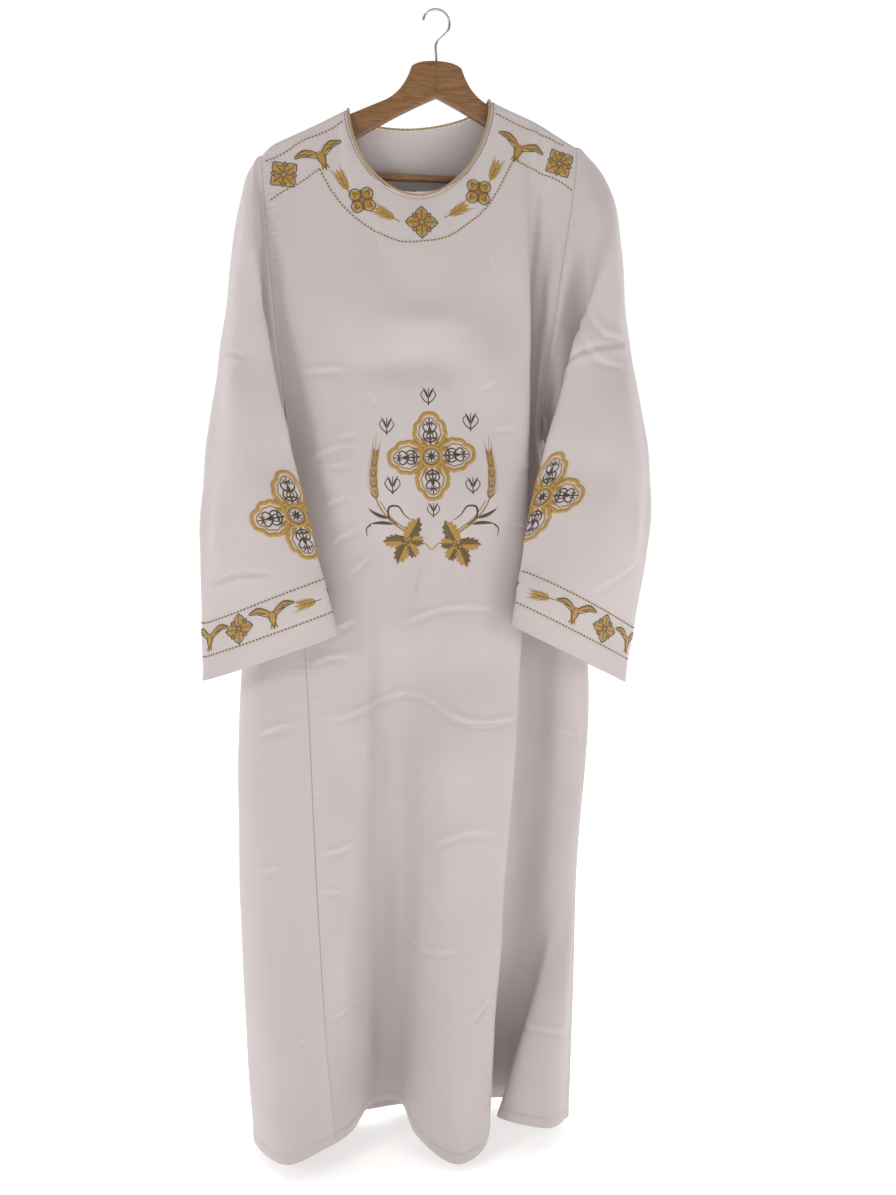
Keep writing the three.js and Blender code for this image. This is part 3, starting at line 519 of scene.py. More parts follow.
class Cloth:
    """A surface of cloth in millimetres. form(a, b) gives its smooth points. turn is 1 where a across b points
    outwards, and rise is 1 where b runs up. The relief of creases, puckers and hems stands out of the smooth
    surface."""

    def __init__(self, name, form, a_range, turn, rise, closed):
        self.name, self.form, self.closed = name, form, closed
        self.a_range, self.b_range = a_range, (0, 1)
        self.turn, self.rise = turn, rise
        self.lines, self.swellings = [], []
        self.hem_at = 0.0 if rise > 0 else 1.0
        self.sample_a = np.linspace(*a_range, EDGE_POINTS)
        edge, inner = (form(self.sample_a, np.full_like(self.sample_a, self.hem_at + rise * step))
                       for step in (0, EDGE_SHARE))
        self.hem_speed = np.linalg.norm(inner - edge, axis=1) / EDGE_SHARE
        grid = np.meshgrid(np.linspace(*a_range, TABLE_LINES), np.linspace(*self.b_range, TABLE_LINES))
        self.table_a, self.table_b = grid[0].ravel(), grid[1].ravel()
        self.table = form(self.table_a, self.table_b)
        self.table_way = self.normals(self.table_a, self.table_b)[:, 1]

    def steps(self, a, b):
        """The surface's change for a small step of a and of b, by differences to either side."""
        da = (self.a_range[1] - self.a_range[0]) * 1e-3
        left, right = a - da, a + da
        if not self.closed:
            left, right = np.maximum(left, self.a_range[0]), np.minimum(right, self.a_range[1])
        low, high = np.maximum(b - 1e-3, self.b_range[0]), np.minimum(b + 1e-3, self.b_range[1])
        along = (self.form(right, b) - self.form(left, b)) / (right - left)[:, None]
        up = (self.form(a, high) - self.form(a, low)) / (high - low)[:, None]
        return along, up

    def normals(self, a, b):
        """Directions out of the cloth: the cross product of the steps along and up."""
        along, up = self.steps(a, b)
        return unit(np.cross(along, up)) * self.turn

    def at(self, a, b, lift=0.0):
        """Points on the cloth, lifted out of it."""
        a, b = np.asarray(a, float), np.asarray(b, float)
        stand = self.relief(a, b) + lift
        return self.form(a, b) + self.normals(a, b) * stand[:, None]

    def line(self, places, other, along_a):
        """Smooth points at places along one of the two directions, on one line of the other."""
        fixed = np.full_like(places, other)
        return self.form(places, fixed) if along_a else self.form(fixed, places)

    def hem_length(self, a):
        """The length that one whole b would have at the hem or the cuff's edge."""
        return np.interp(np.mod(a, ROUND) if self.closed else a, self.sample_a, self.hem_speed)

    def newton(self, a, b, aim, origin, frame, limit):
        """One of Newton's steps towards the places whose points, less an origin, lie at the aims in a plane. It also
        gives how far the points lay from the aims before it. frame holds the plane's two directions, and limit is
        the longest step as a share of each range."""
        along, up = (way @ frame for way in self.steps(a, b))
        miss = aim - (self.form(a, b) - origin) @ frame
        area = along[:, 0] * up[:, 1] - along[:, 1] * up[:, 0]
        area = np.where(np.abs(area) < 1, 1, area)
        more_a = (miss[:, 0] * up[:, 1] - miss[:, 1] * up[:, 0]) / area
        more_b = (along[:, 0] * miss[:, 1] - along[:, 1] * miss[:, 0]) / area
        limit_a = limit * (self.a_range[1] - self.a_range[0])
        a = a + np.clip(more_a, -limit_a, limit_a)
        b = np.clip(b + np.clip(more_b, -limit, limit), *self.b_range)
        return a if self.closed else np.clip(a, *self.a_range), b, np.linalg.norm(miss, axis=1)

    def find(self, x, z, facing):
        """The place whose point has this x and z."""
        return tuple(self.find_all([(x, z), (x + 0.01, z)], facing)[0])

    def find_all(self, line, facing, step=9.0):
        """Places along a line of (x, z), cut into steps of some millimetres: for each the nearest of a table that
        faces the viewer, then Newton's steps from there, all at once."""
        line = np.array(line, float)
        length = gap_lengths(line)
        even = np.linspace(0, length[-1], max(3, int(length[-1] / step)))
        aim = spline_weights(length, even) @ line
        away = (self.table[:, 0] - aim[:, :1]) ** 2 + (self.table[:, 2] - aim[:, 1:]) ** 2
        best = np.argmin(away + np.where(self.table_way * facing < 0.1, AWAY, 0), axis=1)
        a, b = self.table_a[best], self.table_b[best]
        for _ in range(FIND_STEPS):
            a, b, _ = self.newton(a, b, aim, 0, AS_SEEN, FIND_LIMIT)
        return np.stack([a, b], axis=-1)

    def add_crease(self, depth, half_width, line, facing):
        """Lays a crease: its line in places, and the lengths of one a and one b there."""
        places = self.find_all(line, facing, 15)
        middle = places.mean(axis=0)
        along, up = self.steps(middle[:1], middle[1:])
        scale = np.array([np.linalg.norm(along), np.linalg.norm(up)])
        self.lines.append((depth, half_width * CREASE_NARROWS, places * scale, scale))

    def add_swelling(self, height, x, z, half_width, half_height, facing):
        """Lays a soft swelling or hollow."""
        place = np.array(self.find(x, z, facing))
        along, up = self.steps(place[:1], place[1:])
        scale = np.array([np.linalg.norm(along) / half_width, np.linalg.norm(up) / half_height])
        self.swellings.append((height, place, scale))

    def crease_relief(self, a, b):
        """A crease is a trough of bell-shaped section beside a lower ridge. It follows the nearest piece of its
        line, and fades at its ends. A swelling is a bell to all sides."""
        stand = np.zeros_like(a)
        for depth, half_width, line, scale in self.lines:
            here = np.stack([a, b], axis=-1) * scale
            near = np.flatnonzero(np.abs(here[:, 1] - line[:, 1].mean()) < np.ptp(line[:, 1]) + 8 * half_width)
            if not len(near):
                continue
            start, span = line[:-1], np.diff(line, axis=0)
            length = np.linalg.norm(span, axis=1)
            away = here[near][:, None, :] - start
            t = np.clip(np.sum(away * span, axis=2) / length ** 2, 0, 1)
            gap = away - t[:, :, None] * span
            distance = np.linalg.norm(gap, axis=2)
            best = np.argmin(distance, axis=1)
            pick = np.arange(len(near))
            turn = span[best, 0] * gap[pick, best, 1] - span[best, 1] * gap[pick, best, 0]
            signed = distance[pick, best] * np.sign(turn)
            total = (np.cumsum(length) - length)[best] + t[pick, best] * length[best]
            share = total / length.sum()
            fade = smooth_step(np.minimum(share, 1 - share) / CREASE_FADE)
            beside = bell((signed - BESIDE_AWAY * half_width) / (BESIDE_WIDTH * half_width))
            profile = -bell(signed / half_width) + BESIDE_HEIGHT * beside
            stand[near] += CREASE_GAIN * depth * fade * profile
        for height, place, scale in self.swellings:
            gap = (np.stack([a, b], axis=-1) - place) * scale
            stand += SWELL_GAIN * height * bell(np.linalg.norm(gap, axis=1))
        return stand

    def seam_distance(self, a, b):
        """Distance from the nearest seam: a side seam or armhole on a panel, the armhole on a sleeve."""
        if self.closed:
            return b * SLEEVE_LENGTH
        return np.minimum(a, 1 - a) * FRONT_WIDTH

    def waves(self, a, b):
        """Long soft waves: sines round the sleeve or across the panel, whose phases drift along it."""
        turn = a * (2 * math.pi / ROUND if self.closed else 9)
        return (0.7 * np.sin(turn * 2 + 23 * b + 1.1) * np.sin(15 * b + 2 * turn)
                + 0.5 * np.sin(turn * 3 - 37 * b + 0.4) + 0.35 * np.sin(turn * 5 + 61 * b + 2.0)
                + 1.1 * np.sin(turn * 5 + 2.2 * np.sin(5 * b + 0.5)) * (0.6 + 0.4 * np.sin(9 * b + turn)))

    def relief(self, a, b):
        """The sum of the creases, of the waves, of puckers beside the seams, of the hem's step and of its stitched
        trough. The creases and the waves fade out at the seams."""
        seam = self.seam_distance(a, b)
        inside = smooth_step(seam / CALM_EDGE)
        if not self.closed:
            inside = inside * smooth_step((1 - b) / CALM_TOP)
        stand = (self.crease_relief(a, b) + self.waves(a, b)) * inside
        run = a * (SLEEVE_WIDTH / ROUND) if self.closed else b * PANEL_LENGTH
        uneven = 0.75 + 0.25 * np.sin(run / PUCKER_DRIFT + 0.7)
        pucker = bell((seam - PUCKER_MIDDLE) / PUCKER_REACH) * smooth_step(seam / PUCKER_START) * uneven
        low = smooth_step((b - HEM_CLEAR) / HEM_CLEAR) if not self.closed else 1
        stand = stand - PUCKER_DEPTH * pucker * (0.5 + 0.5 * np.sin(2 * math.pi * run / PUCKER_PITCH)) * low
        high = np.abs(b - self.hem_at) * self.hem_length(a)
        fold = CUFF_HEM if self.closed else settings().hem_height / MM
        step = HEM_STEP * (1 - smooth_step((high - fold + HEM_SLOPE / 2) / HEM_SLOPE))
        stand = stand + step - STITCH_TROUGH * bell((high - fold) / TROUGH_HALF)
        if self.closed:
            stand = stand + SLEEVE_PROUD * smooth_step(seam / LAP_SLOPE)
        return stand

    def project(self, centre, across, up, facing):
        """Places whose points lie at distances across and up from a centre, seen square to the cloth there: the
        nearest of a local table, then Newton's steps in that plane, all at once. Each place keeps its best step."""
        origin = self.form(*np.array(centre)[:, None])[0]
        way = self.normals(*np.array(centre)[:, None])[0]
        right = unit(np.array([-facing, 0.0, 0.0]) + way * facing * way[0])
        frame = np.stack([right, np.cross(way, right)], axis=-1)
        aim = np.stack([across, up], axis=-1)
        spans = [(high - low) * NEAR_SHARE for low, high in (self.a_range, self.b_range)]
        near_a, near_b = (grid.ravel() for grid in np.meshgrid(
            *(np.linspace(middle - span, middle + span, NEAR_LINES) for middle, span in zip(centre, spans))))
        near_a = near_a if self.closed else np.clip(near_a, *self.a_range)
        near_b = np.clip(near_b, *self.b_range)
        seen = (self.form(near_a, near_b) - origin) @ frame
        away = (seen[:, 0] - aim[:, :1]) ** 2 + (seen[:, 1] - aim[:, 1:]) ** 2
        pick = np.argmin(away + np.where(self.normals(near_a, near_b) @ way < 0.2, AWAY, 0), axis=1)
        a, b = best_a, best_b = near_a[pick], near_b[pick]
        least = np.full(len(a), np.inf)
        for _ in range(PROJECT_STEPS):
            more_a, more_b, error = self.newton(a, b, aim, origin, frame, PROJECT_LIMIT)
            best_a, best_b = np.where(error < least, a, best_a), np.where(error < least, b, best_b)
            a, b, least = more_a, more_b, np.minimum(error, least)
        return best_a, best_b

    def spread(self, centre, across, up):
        """Places at distances across and up from a centre, measured along the cloth: up the centre's line first,
        then along each row. Lengths are sums of small gaps on a table of points, read by interpolation."""
        span_a, span_b = [(high - low) * SPREAD_SHARE for low, high in (self.a_range, self.b_range)]
        line_b = np.unique(np.clip(centre[1] + np.linspace(-span_b, span_b, SPREAD_UP), *self.b_range))
        length = gap_lengths(self.line(line_b, centre[0], False))
        length = (length - np.interp(centre[1], line_b, length)) * self.rise
        order = np.argsort(length)
        b = np.interp(up, length[order], line_b[order])
        rows = np.linspace(b.min() - 1e-4, b.max() + 1e-4, SPREAD_ROWS)
        line_a = centre[0] + np.linspace(-span_a, span_a, SPREAD_ACROSS)
        if not self.closed:
            line_a = np.unique(np.clip(line_a, *self.a_range))
        grid_a, grid_b = np.meshgrid(line_a, rows)
        points = self.form(grid_a.ravel(), grid_b.ravel()).reshape(len(rows), len(line_a), 3)
        widths = gap_lengths(points)
        widths = widths - np.array([np.interp(centre[0], line_a, row) for row in widths])[:, None]
        across = across * self.turn * self.rise
        found = np.array([np.interp(across, row, line_a) for row in widths])
        at = np.clip((b - rows[0]) / (rows[1] - rows[0]), 0, len(rows) - 1.001)
        low = at.astype(int)
        index = np.arange(len(b))
        return found[low, index] * (1 - (at - low)) + found[low + 1, index] * (at - low), b


@functools.lru_cache(maxsize=None)
def cloths():
    """The four pieces of cloth, with their creases and swellings laid on them."""
    gap = SEAM / BACK_WIDTH
    made = {
        "front": Cloth("front", front_points, (0, 1), 1, 1, False),
        "back": Cloth("back", back_points, (gap, 1 - gap), 1, 1, False),
    }
    for name, side in (("sleeve_left", -1), ("sleeve_right", 1)):
        made[name] = Cloth(name, functools.partial(sleeve_points, side), (0, ROUND), side, -1, True)
    for name, creases in CREASES.items():
        cloth, facing = (made["back"], 1) if name == "behind" else (made[name], -1)
        for crease in creases:
            cloth.add_crease(*crease, facing)
        for swelling in SWELLINGS.get(name, ()):
            cloth.add_swelling(*swelling, facing)
    return made


# ---------------------------------------------------------------- meshes
def mesh_object(name, points, faces, uv=None, smooth_angle=50):
    """A mesh from points in millimetres and arrays of faces, one array for each number of corners. uv gives a pair
    in metres for each corner, in the faces' order."""
    mesh = bpy.data.meshes.new(name)
    loops = np.concatenate([block.ravel() for block in faces]).astype(np.int32)
    sizes = np.concatenate([np.full(len(block), block.shape[1]) for block in faces])
    starts = np.concatenate([[0], np.cumsum(sizes)[:-1]]).astype(np.int32)
    mesh.vertices.add(len(points))
    mesh.vertices.foreach_set("co", (np.asarray(points) * MM).astype(np.float32).ravel())
    mesh.loops.add(len(loops))
    mesh.loops.foreach_set("vertex_index", loops)
    mesh.polygons.add(len(starts))
    mesh.polygons.foreach_set("loop_start", starts)
    if uv is not None:
        mesh.uv_layers.new(name="cloth").data.foreach_set("uv", np.asarray(uv, np.float32).ravel())
    mesh.update(calc_edges=True)
    mesh.validate()
    mesh.shade_smooth()
    mesh.set_sharp_from_angle(angle=math.radians(smooth_angle))
    made = bpy.data.objects.new(name, mesh)
    bpy.context.scene.collection.objects.link(made)
    return made


TURNING_WEIGHT = 9         # millimetres that each radian of turning counts for


def even_places(cloth, count, along_a, lines, extra):
    """Places spaced by length and by turning: the lengths of small steps, and more where the surface turns, are
    summed and cut into equal parts. extra makes them closer near the places that it lists."""
    limits = cloth.a_range if along_a else cloth.b_range
    fine = np.linspace(*limits, 1500)
    weight = np.zeros(len(fine) - 1)
    for line in lines:
        gaps = np.diff(cloth.line(fine, line, along_a), axis=0)
        way = unit(gaps)
        turning = np.arccos(np.clip(np.sum(way[1:] * way[:-1], axis=1), -1, 1))
        weight += np.linalg.norm(gaps, axis=1) + TURNING_WEIGHT * np.concatenate([turning[:1], turning])
    middle = (fine[1:] + fine[:-1]) / 2
    for place, reach, more in extra:
        weight *= 1 + more * bell((middle - place) / reach)
    total = np.concatenate([[0], np.cumsum(weight)])
    return np.interp(np.linspace(0, total[-1], count), total, fine)


def mean_lengths(cloth, places, along_a, lines):
    """Lengths along the cloth at those places, as the mean over a few lines."""
    return np.mean([gap_lengths(cloth.line(places, line, along_a)) for line in lines], axis=0)


def cloth_mesh(name, cloth, a, b, thickness):
    """A closed wall of cloth: the relief is its outer face, and the inner face lies a thickness inside it, on every
    third row. Strips join the two at the edges. All points come from whole arrays of places."""
    rows, columns = len(b), len(a)
    inner_rows = np.arange(0, rows, 3)
    grid_a, grid_b = np.meshgrid(a, b)
    outer = cloth.at(grid_a.ravel(), grid_b.ravel())
    kept_a, kept_b = np.meshgrid(a, b[inner_rows])
    inner = cloth.at(kept_a.ravel(), kept_b.ravel(), -thickness)

    wide = columns + 1 if cloth.closed else columns
    corner_row = np.concatenate([np.arange(rows), rows + np.arange(len(inner_rows))])
    vertex = (corner_row[:, None] * columns + np.arange(wide) % columns).ravel()
    ends = np.append(a, cloth.a_range[1]) if cloth.closed else a
    length_a = mean_lengths(cloth, ends, True, (0.05, 0.4, 0.8))
    length_b = mean_lengths(cloth, b, False, np.interp((0.2, 0.5, 0.8), (0, 1), cloth.a_range))
    place_b = np.concatenate([length_b, length_b[inner_rows]])
    corner_uv = np.stack([np.broadcast_to(length_a, (len(place_b), wide)),
                          np.broadcast_to(place_b[:, None], (len(place_b), wide))], axis=-1).reshape(-1, 2) * MM

    outside = np.arange(rows * wide).reshape(rows, wide)
    inside = rows * wide + np.arange(len(inner_rows) * wide).reshape(-1, wide)

    def quads(p, q, r, s):
        return np.stack([p, q, r, s], axis=-1).reshape(-1, 4)

    four = [quads(outside[:-1, :-1], outside[:-1, 1:], outside[1:, 1:], outside[1:, :-1]),
            quads(inside[:-1, :-1], inside[1:, :-1], inside[1:, 1:], inside[:-1, 1:]),
            quads(outside[0, :-1], inside[0, :-1], inside[0, 1:], outside[0, 1:]),
            quads(outside[-1, :-1], outside[-1, 1:], inside[-1, 1:], inside[-1, :-1])]
    blocks = [np.concatenate(four)]
    if not cloth.closed:
        first, last = outside[:, 0], outside[:, -1]
        k = inner_rows[:-1]
        blocks.append(np.concatenate([
            np.stack([first[k], first[k + 1], first[k + 2], first[k + 3], inside[1:, 0], inside[:-1, 0]], axis=-1),
            np.stack([last[k], inside[:-1, -1], inside[1:, -1], last[k + 3], last[k + 2], last[k + 1]], axis=-1)]))
    if cloth.turn < 0:
        blocks = [block[:, ::-1] for block in blocks]
    uv = np.concatenate([corner_uv[block.ravel()] for block in blocks])
    return mesh_object(name, np.concatenate([outer, inner]), [vertex[block] for block in blocks], uv)


def tube(path, radius, sides, closed, aside):
    """Rings of points round a path. Each ring starts from a given direction aside of the path, made square to it."""
    path = np.asarray(path, float)
    way = unit(np.roll(path, -1, axis=0) - np.roll(path, 1, axis=0) if closed else np.gradient(path, axis=0))
    across = np.broadcast_to(np.asarray(aside, float), path.shape)
    across = unit(across - way * np.sum(way * across, axis=1, keepdims=True))
    other = np.cross(way, across)
    turn = np.linspace(0, 2 * math.pi, sides, endpoint=False)
    size = radius(np.arange(len(path))[:, None], turn[None, :]) if callable(radius) else np.full((1, sides), radius)
    ring = across[:, None] * np.cos(turn)[None, :, None] + other[:, None] * np.sin(turn)[None, :, None]
    return path[:, None] + ring * size[..., None]


def curve(start, control, end, count):
    """Points of a quadratic curve from its start to its end, drawn towards its control point."""
    t = np.linspace(0, 1, count)[:, None]
    return (1 - t) ** 2 * np.array(start) + 2 * t * (1 - t) * np.array(control) + t * t * np.array(end)


def ring_faces(rings, sides, closed):
    """Faces between neighbouring rings, and a cap at each end of an open tube."""
    at = np.arange(rings * sides).reshape(rings, sides)
    after = np.roll(at, -1, axis=0) if closed else at[1:]
    here = at if closed else at[:-1]
    side = np.stack([here, np.roll(here, -1, axis=1), np.roll(after, -1, axis=1), after], axis=-1).reshape(-1, 4)
    if closed:
        return [side]
    return [side, np.array([at[0, ::-1], at[-1]])]


# ---------------------------------------------------------------- embroidery
# A design is a list of columns in millimetres, x to the viewer's right and y up: a path, widths at even shares of
# it, a height and a tone, which is 0 for the thread's own colour and 1 for its darker one.
STITCH_STEP = 1.5
SECTION = np.array([-1, -0.7, -0.35, 0, 0.35, 0.7, 1])
DOME = np.sqrt(1 - SECTION ** 2)
SUNK = 0.2                 # how far a column's edges lie in the cloth


def line(points, width, tone=0.0, height=0.7):
    """A column along a spline through the points. One width is kept all along, and several change evenly."""
    points = np.array(points, float)
    place = gap_lengths(points)
    path = spline_weights(place, np.linspace(0, place[-1], 6 * len(points))) @ points if len(points) > 2 else points
    return (path, np.atleast_1d(np.array(width, float)), height, tone)


def leaf(start, end, width, bend=0.0, tone=0.0, height=0.9):
    """A pointed column between two points, curved to one side by bend. Its width follows a sine, fuller near the
    start."""
    start, end = np.array(start, float), np.array(end, float)
    span = end - start
    path = curve(start, (start + end) / 2 + bend * np.array([-span[1], span[0]]), end, 9)
    t = np.linspace(0, 1, 9)
    return (path, 0.3 + width * np.sin(math.pi * t ** 0.8) ** 0.9, height, tone)


def circle(x, y, radius, width, tone=0.0, height=0.7, start=0.0, turn=360.0):
    """A column round a circle or a part of it."""
    angle = np.radians(np.linspace(start, start + turn, 25))
    return (np.stack([x + radius * np.cos(angle), y + radius * np.sin(angle)], axis=-1), np.array([float(width)]),
            height, tone)


def moved(design, x=0.0, y=0.0, angle=0.0, scale=1.0, mirror=False):
    """The design scaled, turned anticlockwise by degrees and then moved. mirror swaps left and right first."""
    turn = math.radians(angle)
    matrix = scale * np.array([[math.cos(turn), math.sin(turn)], [-math.sin(turn), math.cos(turn)]])
    flip = np.array([-1.0 if mirror else 1.0, 1.0])
    return [((path * flip) @ matrix + [x, y], width * scale, height, tone) for path, width, height, tone in design]


def both(half):
    """A half of a design and its mirror image."""
    return half + moved(half, mirror=True)


def around(design, count, start=0.0):
    """The design repeated evenly round the centre."""
    return [column for k in range(count) for column in moved(design, angle=start + 360 * k / count)]


def rosette():
    """A pointed flower, 44 mm across: four broad petals with a rib and an outline, a bud between each two, and a
    ring."""
    petal = [leaf((0, 2), (0, 21), 15, tone=0.05), line([(0, 5), (0, 18)], [1.8, 1.0], 1.0, 1.5)]
    petal += [line([(0, 3), (side * 7.5, 8), (side * 8.0, 14), (0, 23)], 1.9, 0.85, 1.2) for side in (1, -1)]
    bud = [leaf((0, 5), (0, 16.5), 7, tone=0.1, height=1.0), line([(-5, 11), (0, 18), (5, 11)], 1.5, 0.9, 1.2)]
    return around(bud, 4, 45) + around(petal, 4) + [circle(0, 0, 2.8, 2.2, 0.6, 1.6)]


def square_flower():
    """A square flower, 38 mm across: four round petals on the diagonals, each an outline round a filled heart."""
    petal = [leaf((0, 2), (0, 21), 15, tone=0.05), circle(0, 12.5, 8.2, 1.9, 0.85, 1.2),
             line([(-3.4, 10), (0, 16), (3.4, 10)], 1.5, 1.0, 1.6)]
    rib = [leaf((0, 1), (0, 16), 4.4, tone=0.8, height=1.3)]
    return around(petal, 4, 45) + around(rib, 4) + [circle(0, 0, 2.6, 2.0, 0.5, 1.7)]


def bird():
    """A flying bird, 72 mm across: each wing is a curved column with feathers under it, over a body and a tail."""
    wing = [line([(1, 2), (9, 8), (20, 14), (36, 12)], [8, 9, 6, 1.0], 0.05, 1.2),
            line([(2, 5), (10, 13), (21, 18), (36, 13)], 1.7, 0.95, 1.4),
            line([(3, -2), (12, 3), (24, 9), (36, 11)], 1.5, 0.85, 1.2),
            leaf((8, 6), (22, 9), 3.2, 0.1, 0.75, 1.5), leaf((17, 11), (31, 12), 2.6, 0.1, 0.75, 1.5)]
    body = [leaf((0, 9), (0, -14), 12, tone=0.05, height=1.3), leaf((0, -6), (-6, -19), 5, 0.1, 0.4),
            leaf((0, -6), (6, -19), 5, -0.1, 0.4), leaf((0, -7), (0, -21), 4, tone=0.9)]
    body += [line([(side * 5, 6), (side * 5.6, -3), (side * 1.5, -13)], 1.5, 1.0, 1.3) for side in (-1, 1)]
    return both(wing) + body


def wheat_sprig(grains=5, length=36):
    """A sprig of wheat that points up: a stem, pairs of grains and thin awns."""
    made = [line([(0, -length / 2), (0, length / 2 - 8)], 1.3, 0.6)]
    for k in range(grains):
        y = -length / 2 + 8 + k * (length - 16) / grains
        made += [leaf((side * 0.6, y), (side * 4.6, y + 8.5), 3.2, -side * 0.12, 0.25 * (k % 2)) for side in (-1, 1)]
        made += [line([(side * 4.4, y + 8), (side * 7.2, y + 14.5)], [0.8, 0.4], 0.7, 0.4) for side in (-1, 1)]
    return made + [leaf((0, length / 2 - 12), (0, length / 2 - 1), 3.4)]


def scallops(corners, bulge):
    """A path of arcs through the corners. Each arc stands out to the right of its way by a share of its length."""
    corners = np.array(corners, float)
    span = np.diff(corners, axis=0)
    control = (corners[1:] + corners[:-1]) / 2 + bulge * np.stack([span[:, 1], -span[:, 0]], axis=-1)
    arcs = [curve(*ends, 9) for ends in zip(corners[:-1], control, corners[1:])]
    return np.concatenate([arc[:-1] for arc in arcs] + [corners[-1:]])


def cross_gold():
    """The gold of a cross with lobed arms, 126 mm across: padded outlines, a thinner line inside them, a ring round
    the middle and rays between the arms."""
    outer = scallops([(7, 15), (19, 25), (20.5, 36), (13, 49), (0, 60)], 0.46)
    inner = scallops([(5, 18), (13.5, 27), (14.5, 36), (8.5, 46), (0, 54)], 0.42)
    half = [(outer, np.array([5.6]), 1.9, 0.05), (inner, np.array([2.0]), 1.0, 0.3)]
    ray = [leaf((0, 15), (0, 35), 7, tone=0.0, height=1.6), leaf((-3.5, 14), (-9.5, 28), 5.6, 0.1, 0.35, 1.4),
           leaf((3.5, 14), (9.5, 28), 5.6, -0.1, 0.35, 1.4), line([(0, 16), (0, 32)], 1.2, 0.9, 2.0)]
    middle = [circle(0, 0, 14.2, 5.4, 0.05, 2.0), circle(0, 0, 9.2, 1.8, 0.35, 1.2)]
    return around(both(half), 4) + around(ray, 4, 45) + middle


def cross_brown():
    """The brown of the same cross: in each arm a stem with two pairs of scrolls and a bud, and a star of eight
    points in the middle."""
    side = [line([(0, 19), (7, 23), (9.6, 30), (6, 35), (3.2, 31)], [2.6, 2.4, 1.6]),
            line([(0, 33), (6.5, 36), (9.6, 41), (5, 45.5), (2.2, 42)], [2.5, 2.2, 1.5]),
            line([(1.5, 23), (5.0, 28), (0, 34)], 1.8), leaf((0, 44), (5.2, 50), 2.6, -0.1),
            leaf((0, 26), (11.5, 22.5), 2.4, 0.1)]
    stem = [line([(0, 17), (0, 53)], [2.8, 1.8]), leaf((0, 32), (0, 42), 5.6, height=1.2)]
    star = [leaf((0, 0.5), (0, 8.0), 2.6)]
    return around(both(side) + stem, 4) + around(star, 8) + [circle(0, 0, 11.3, 1.2)]


def ear_gold():
    """A tall ear of wheat on its bent stem: pairs of slender grains along a curve, awns above them."""
    path = np.array([(4, -72), (-20, -54), (-37, -30), (-43, 4), (-40, 40)], float)
    place = gap_lengths(path)
    made = [line(path, [3.4, 2.6, 1.8, 1.0], 0.3), line(path[:3] + (3.4, 2.0), [1.6, 1.2], 0.7)]
    share = np.linspace(0.5, 0.95, 9)
    at = spline_weights(place, share * place[-1]) @ path
    ahead = spline_weights(place, np.minimum(1, share + 0.04) * place[-1]) @ path
    for k, (here, way) in enumerate(zip(at, unit(ahead - at))):
        for side in (-1, 1):
            out = np.array([way[1], -way[0]]) * side
            tip = here + way * 13 + out * (5.4 - 0.25 * k)
            made += [leaf(here + out * 0.5, tip, 2.9, -side * 0.08, 0.1 + 0.45 * ((k + side) % 2)),
                     line([tip - way, tip + way * 13 + out * 2.0], [0.9, 0.4], 0.3, 0.4)]
    return made + [leaf(path[-1] - (0, 9), path[-1] + (0.4, 7), 2.8), line([path[-1], path[-1] + (1, 24)], [0.8, 0.4])]


def ear_brown():
    """Long grass leaves beside the stem, and one curled one."""
    return [leaf((-20, -52), (-50, -38), 5.2, 0.16), leaf((-14, -61), (-47, -60), 5.0, -0.12),
            line([(-46, -60.5), (-52, -66), (-51, -77)], [3.0, 2.0, 0.8]),
            line([(-8, -62), (-21, -50), (-20, -36), (-9, -35), (2, -48), (11, -55)], [1.6, 3.0, 3.6, 2.8, 1.8, 0.9])]


def vine_leaf():
    """A vine leaf of five lobes round a stalk's end. Each lobe is a broad column in two halves, one of the darker
    tone, with teeth along its sides and a rib between them."""
    made = []
    for angle, length, width in ((150, 27, 17), (-92, 34, 18), (88, 24, 15), (-158, 36, 20), (28, 38, 21)):
        turn = math.radians(angle)
        way, aside = np.array([math.sin(turn), math.cos(turn)]), np.array([math.cos(turn), -math.sin(turn)])
        for side, tone in ((1, 0.85), (-1, 0.08)):
            half = leaf(way * -1 + aside * side * width * 0.2, way * length, width * 0.6, -side * 0.06, tone)
            teeth = [leaf(way * length * share + aside * side * width * 0.14,
                          way * (length * share + 9) + aside * side * width * size, width * 0.34, side * 0.1, tone)
                     for share, size in ((0.22, 0.56), (0.42, 0.52), (0.6, 0.36))]
            made += [half, *teeth]
        made.append(line([way, way * (length - 5)], [1.4, 0.8], 0.6, 1.4))
    return made


def small_sprig():
    """A small plain sprig: a stem with a curl and two leaves to each side."""
    half = [line([(0, -8), (5, -4), (8, 2), (5, 6), (3, 3)], [1.5, 1.2, 0.9]), leaf((1, -2), (6, 9), 2.2, 0.12)]
    return both(half) + [line([(0, -10), (0, 9)], [1.5, 0.9])]


